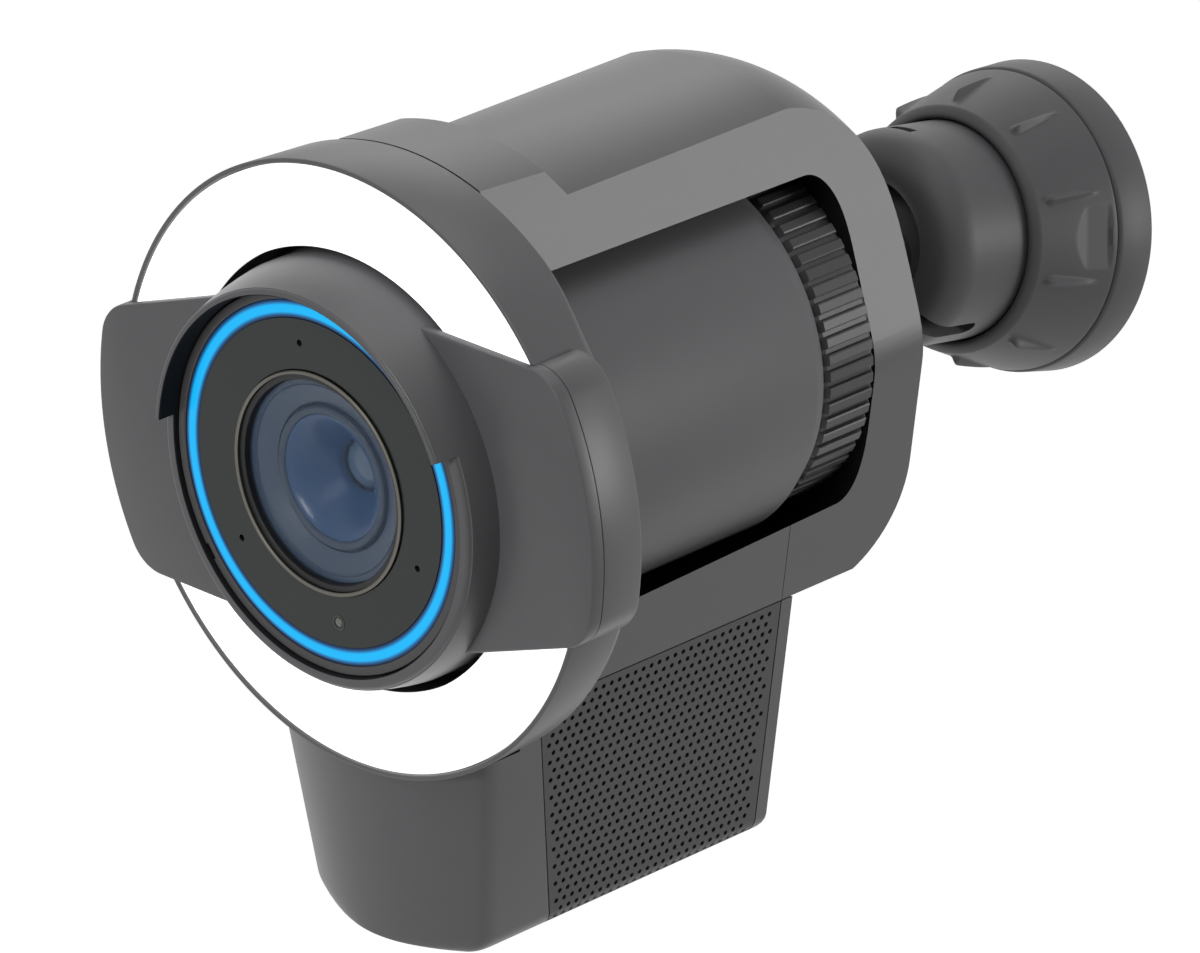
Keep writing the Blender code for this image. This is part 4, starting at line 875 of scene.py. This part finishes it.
bmesh.ops.recalc_face_normals(rib, faces=rib.faces)
place("ribbed_ring", rib, CAMERA, dark_grey_and_bore_shade, "coupling", ["coupling_ring"], sharp=25)

# %% [markdown]
# ## Hood, visor and wings
#
# The front trim is one moulding.  A turned hood surrounds the face, and its upper half reaches
# further forward as a visor.  A wing on each side crosses the light and wraps back over the ring.
# Both wings come from one outline, drawn back and hollowed for the ring.  A fine groove runs round
# their edge, so the skin is bridged over a few copies of the outline, some a little smaller.

# %% Hood, visor and wings
HOOD_R, HOOD_BACK, HOOD_LIP, HOOD_LIP_R = 43.3, 156.0, 175.8, 40.4
HOOD_BULGE, HOOD_BORE_R, VISOR_REACH, VISOR_HALF_ANGLE = 0.3, 39.1, 4.0, 75.5
WING_R, WING_FRONT, WING_BACK, BAND_BACK = 67.55, 168.8, 167.2, 155.0
WING_HALF_H, WING_CORNER, WING_FLARE = 28.0, 9.0, 9.8
GROOVE_AT, GROOVE_HALF_W, GROOVE_DEPTH = 165.6, 0.14, 0.2


def hood_radius(z):
    """The hood's outer radius: a slightly bowed cone from the ring's front to the visor's tip."""
    t = (HOOD_LIP + VISOR_REACH - z) / (HOOD_LIP + VISOR_REACH - LIGHT_FRONT)
    return HOOD_LIP_R + (HOOD_R - HOOD_LIP_R) * t + 4 * HOOD_BULGE * t * (1 - t)


def hood_half(lip, edge):
    """The hood up to a front edge, with that edge rounded outside."""
    fall = [lip - edge - i * (lip - edge - LIGHT_FRONT) / 12 for i in range(13)]
    nose = arc((hood_radius(lip) - edge, lip - edge), (edge, edge), 90, 10, 5)
    return ring([(HOOD_BORE_R, lip - 0.2), (HOOD_BORE_R + 0.2, lip)] + nose
                + [(hood_radius(z), z) for z in fall]
                + [(HOOD_R, HOOD_BACK), (40.8, HOOD_BACK), (40.8, 166.3), (HOOD_BORE_R, 166.3)], 240)


def wing_outline(inset):
    """Front outline of both wings: a disc with rounded corners and edges that flare towards the hood."""
    radius = WING_R - inset
    corner_r = WING_CORNER - inset
    centre_y = WING_HALF_H - WING_CORNER
    centre_x = math.sqrt((WING_R - WING_CORNER) ** 2 - centre_y ** 2)
    lean = math.degrees(math.atan2(centre_y, centre_x))
    corner = arc((centre_x, centre_y), (corner_r, corner_r), lean, 90 - WING_FLARE, 14)
    peak = corner[-1][1] + corner[-1][0] * math.tan(math.radians(WING_FLARE))
    rim = arc((0, 0), (radius, radius), -lean, lean, 40)[1:-1]
    right = [(x, -y) for x, y in reversed(corner)] + rim + corner
    return right + [(0, peak)] + [(-x, -y) for x, y in right] + [(0, -peak)]


tip = HOOD_LIP + VISOR_REACH
half = math.radians(VISOR_HALF_ANGLE)
end_x, end_y = 100 * math.sin(half), 100 * math.cos(half)
above = [(0, 0), (end_x, end_y), (end_x, 100), (-end_x, 100), (-end_x, end_y)]
visor = combine(hood_half(tip, 0.5), prism(above, 150, 190), "INTERSECT")
hood = combine(hood_half(HOOD_LIP, 1.0), visor, "UNION")

layers = [(BAND_BACK, 0.7), (BAND_BACK + 0.2, 0.25), (BAND_BACK + 0.7, 0), (GROOVE_AT - GROOVE_HALF_W, 0),
          (GROOVE_AT - 0.05, GROOVE_DEPTH), (GROOVE_AT + 0.05, GROOVE_DEPTH),
          (GROOVE_AT + GROOVE_HALF_W, 0), (WING_FRONT - 0.55, 0), (WING_FRONT - 0.16, 0.16),
          (WING_FRONT, 0.55)]
wings = skin([[(x, y, z) for x, y in wing_outline(inset)] for z, inset in layers])
wings = combine(wings, turn([(0, 182), (40.5, 182), (40.5, WING_BACK), (ring_r, WING_BACK), (ring_r, 140),
                             (0, 140)], 240))
trim = combine(hood, wings, "UNION")
# The hood's bore is lined black as painted shade.
line_inside(trim, HOOD_BORE_R + 0.15, 150)
place("front_moulding", trim, CAMERA, trim_grey, "camera", ["front_trim"], sharp=28, lining=painted_shade_black)

# %% [markdown]
# ## Face and status light
#
# Inside the hood a dark plate carries the light guide and the smoked glass.  The glass is punched
# for three pinholes, with the same tool as the grilles, and the sensor window stands through it.

# %% Face
FACE_FRONT, RIM_FRONT = 174.7, 174.9
RIM_R, RIM_INNER_R = 38.85, 37.0
GUIDE_R, GUIDE_INNER_R = 36.95, 33.25
GLASS_R, GLASS_INNER_R = 33.2, 23.0
PINHOLE_AT, PINHOLE_R, GLASS_T, FACE_SEAT = 28.3, 0.7, 1.5, 173.4
FACE_NOTCH_AT, FACE_NOTCH_SIZE = -152.0, (1.6, 3.4, 3.0)

carrier = ring([(RIM_R, RIM_FRONT - 0.2), (RIM_R, 169.9), (22.2, 169.9), (22.2, FACE_SEAT - 0.3),
                (RIM_INNER_R, FACE_SEAT - 0.3), (RIM_INNER_R, RIM_FRONT - 0.2),
                (RIM_INNER_R + 0.2, RIM_FRONT), (RIM_R - 0.2, RIM_FRONT)])
notch = block(FACE_NOTCH_AT, RIM_R, RIM_FRONT, FACE_NOTCH_SIZE)
place("face_plate", combine(carrier, notch), CAMERA, face_grey, "camera", ["face_carrier"])

middle_r, half_w = (GUIDE_R + GUIDE_INNER_R) / 2, (GUIDE_R - GUIDE_INNER_R) / 2
guide = ring([(GUIDE_R, FACE_SEAT), (GUIDE_R, FACE_FRONT - 0.2)]
             + arc((middle_r, FACE_FRONT - 0.2), (half_w, 0.2), 0, 180, 10) + [(GUIDE_INNER_R, FACE_SEAT)])
place("status_guide", guide, CAMERA, guide_blue, "camera", ["status_ring"], "light_guide")

edges = [arc((0, 0), (r, r), 0, 360, 160)[:-1] for r in (GLASS_R, GLASS_INNER_R)]
holes = arc((0, 0), (PINHOLE_AT, PINHOLE_AT), 90, 330, 2)
glass = punched(edges, holes, PINHOLE_R, GLASS_T, 16)
place("face_cover", glass, CAMERA @ Matrix.Translation((0, 0, FACE_FRONT * MM)), face_finish, "camera",
      ["face_glass"], "dark_glass")
bead = [(0, 0.35), (0.5, 0.25), (0.85, 0), (0.95, -0.1), (1.15, -0.1), (1.2, 0.1), (1.6, 0.1)]
sensor = turn([(r, FACE_FRONT + z) for r, z in bead] + [(1.6, FACE_SEAT), (0, FACE_SEAT)], 32)
for face in sensor.faces:
    face.material_index = int(face.calc_center_median().xy.length > 0.9 * MM)
bmesh.ops.translate(sensor, verts=sensor.verts, vec=(0, -PINHOLE_AT * MM, 0))
# The dome's pale colour is partly a painted glint; the ring round it is dark grey.
place("sensor_window", sensor, CAMERA, glinting_sensor_dome, "camera", ["light_sensor"], "lens_glass",
      lining=dark_grey_and_bore_shade)

# %% [markdown]
# ## Lens
#
# A thin metal bezel holds the coated front glass.  Behind it a ground rim, a stepped cone, the inner
# barrel and a blue lens follow one another, each a little deeper, and a small rear lens at the bottom
# is tinted pale blue as a painted glint.  Modelling the stack gives rings that shift against each
# other as the view moves, which a painted disc would not.

# %% Lens
BEZEL_R, BEZEL_INNER_R, BEZEL_FRONT = 22.8, 22.0, 175.4
bezel = ring([(BEZEL_R, FACE_SEAT), (BEZEL_R, BEZEL_FRONT - 0.2), (BEZEL_R - 0.2, BEZEL_FRONT),
              (BEZEL_INNER_R + 0.2, BEZEL_FRONT), (BEZEL_INNER_R, BEZEL_FRONT - 0.2),
              (BEZEL_INNER_R, FACE_SEAT)])
place("lens_bezel_ring", bezel, CAMERA, bezel_metal, "camera", ["lens_bezel"], "bare_metal")

tube = ring([(21.9, 174.6), (21.9, 130.6), (14.9, 130.6), (14.9, 168.6), (20.8, 170.8), (20.8, 174.4),
             (21.0, 174.6)])
place("lens_funnel", tube, CAMERA, black_plastic, "camera", ["lens_tube"], "black_plastic")

LENS_R = 20.6
dome = [(LENS_R * t, 173.2 + 1.0 * (1 - t * t)) for t in [i / 14 for i in range(15)]]
window = turn(dome + [(r, z - 0.5) for r, z in reversed(dome)])
place("front_lens", window, CAMERA, lens_clear, "camera", ["lens_window"], "lens_glass")

rim = ring([(20.7, 172.6), (19.6, 172.6), (19.45, 172.3), (19.3, 172.3), (19.15, 172.5), (18.9, 172.45),
            (15.2, 170.9), (15.2, 169.9), (20.7, 171.3)])
place("lens_cone", rim, CAMERA, lens_grey, "camera", (), "black_plastic")
inner_ring = ring([(14.5, 171.4), (14.2, 171.7), (13.2, 171.7), (12.9, 171.4), (12.9, 163.0), (14.5, 163.0)])
place("inner_lens_ring", inner_ring, CAMERA, lens_ring, "camera", (), "black_plastic")
bowl = [(12.8 - 7.6 * t, 171.2 - 7.6 * t ** 1.5) for t in [i / 16 for i in range(17)]]
throat = ring(bowl + [(5.2, 162.6), (12.8, 162.6)], 120)
place("lens_throat", throat, CAMERA, lens_back, "camera", (), "black_plastic")
# The rear lens shows its glint through its pale painted tint.
rear = turn(arc((0, 161.4), (5.0, 2.4), 90, 0, 10) + [(0, 161.4)], 64)
place("rear_lens", rear, CAMERA, lens_painted_glint, "camera", (), "lens_glass")

CELL_FRONT, CELL_R = 157.0, 14.1
sleeve = ring([(CELL_R, CELL_FRONT - 0.3), (CELL_R, 143.8), (12.6, 143.8), (12.6, CELL_FRONT - 0.4),
               (12.9, CELL_FRONT), (CELL_R - 0.3, CELL_FRONT)], 120)
place("zoom_sleeve", sleeve, CAMERA, black_plastic, "zoom", ["zoom_cell"], "lens_glass")
cell_dome = [(12.5 * t, CELL_FRONT - 0.2 - 2.2 * t * t) for t in [i / 14 for i in range(15)]]
cell = turn(cell_dome + [(12.5, 150.0), (0, 150.0)], 120)
place("zoom_lens", cell, CAMERA, lens_painted_glint, "zoom", (), "lens_glass")

# %% [markdown]
# ## Pieces that stay as they are
#
# The boards, drivers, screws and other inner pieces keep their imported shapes.  Each gets the finish
# of its real material.

# %% Inner pieces
INNER = {"wall_screw_left": zinc, "wall_screw_right": zinc, "pressure_pad": pad_rubber, "spindle_nut": zinc,
         "speaker_driver_left": black_plastic, "speaker_driver_right": black_plastic,
         "audio_board": green_board, "led_board": white_board, "rear_cap": black_plastic,
         "image_board": green_board, "main_board": green_board, "heat_sink": sink_metal,
         "network_socket": black_plastic}
for node, finish in INNER.items():
    for slot_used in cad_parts[node].material_slots:
        slot_used.material = finish
print(len(INNER), "inner pieces dressed")

# %% [markdown]
# ## Light and backdrop
#
# Soft boxes light the object at a plain level.  One to the right and behind makes the flat sides
# shine, with a weak one beside it.  One in front lights the wings and the box, and the rest come from
# above.  The floor lies well below, and the backdrop is white wherever the camera, a reflection or
# glass looks at it, without lighting the object.


# %% Light and backdrop
def soft_box(name, where, size, power):
    """A square lamp that faces the middle of the object."""
    lamp = bpy.data.lights.new(name, "AREA")
    lamp.shape = "SQUARE"
    lamp.size = size
    lamp.energy = power
    made = bpy.data.objects.new(name, lamp)
    made.location = where
    made.rotation_euler = (Vector(where) - AIM).to_track_quat("Z", "Y").to_euler()
    bpy.context.scene.collection.objects.link(made)
    return made


AIM = Vector((0, -0.12, -0.02))
REACH = 1.6
ROOM_LIGHT = 0.06
FLOOR_DOWN, FLOOR_SIZE = 1.3, 5.0
BOXES = {"right_box": ((0.75, 0.64, 0.15), 0.5, 8.0), "front_box": ((-0.08, -0.99, 0.05), 0.4, 7.5),
         "upper_front_box": ((0.3, -0.6, 0.7), 1.0, 4.5), "overhead_box": ((0.0, 0.0, 1.0), 1.0, 5.0),
         "rear_left_box": ((-0.6, 0.45, 0.65), 0.9, 3.2), "side_box": ((0.9, 0.4, 0.15), 0.5, 0.8)}
for name, (towards, size, power) in BOXES.items():
    soft_box(name, AIM + Vector(towards).normalized() * REACH, size, power)
print("lamps:", list(BOXES))


def white_backdrop(tree):
    """One for camera, mirror and glass rays, nothing for the rays that light the object."""
    rays = add(tree, "LightPath", {})
    seen = add(tree, "Math", {0: rays.outputs["Is Camera Ray"], 1: rays.outputs["Is Glossy Ray"]},
               operation="MAXIMUM")
    return add(tree, "Math", {0: seen.outputs["Value"], 1: rays.outputs["Is Transmission Ray"]},
               operation="MAXIMUM").outputs["Value"]


world = bpy.data.worlds.new("studio")
world.use_nodes = True
bpy.context.scene.world = world
tree = world.node_tree
room_light = tree.nodes["Background"]
room_light.inputs["Color"].default_value = linear("f2f4f6")
room_light.inputs["Strength"].default_value = ROOM_LIGHT
white = add(tree, "Background", {"Color": linear("ffffff"), "Strength": 1.0})
blend = add(tree, "MixShader", {"Fac": white_backdrop(tree), 1: room_light.outputs["Background"],
                                2: white.outputs["Background"]})
tree.links.new(blend.outputs["Shader"], tree.nodes["World Output"].inputs["Surface"])

floor_finish, tree, shader = new_finish("white_studio_floor", roughness=0.9)
mottled(tree, shader.inputs["Base Color"], 40.0, 2.0, "f4f4f4", "f8f8f8")
glow = add(tree, "Emission", {"Color": linear("f8f8f8"), "Strength": white_backdrop(tree)})
lit = add(tree, "AddShader", {0: shader.outputs["BSDF"], 1: glow.outputs["Emission"]})
tree.links.new(lit.outputs["Shader"], tree.nodes["Material Output"].inputs["Surface"])
ground = bmesh.new()
bmesh.ops.create_grid(ground, x_segments=8, y_segments=8, size=FLOOR_SIZE)
bmesh.ops.translate(ground, verts=ground.verts, vec=(0, 0, -FLOOR_DOWN))
floor_mesh = bpy.data.meshes.new("studio_floor")
ground.to_mesh(floor_mesh)
ground.free()
floor_mesh.materials.append(floor_finish)
floor = bpy.data.objects.new("studio_floor", floor_mesh)
bpy.context.scene.collection.objects.link(floor)
bpy.context.scene.view_settings.view_transform = "Standard"
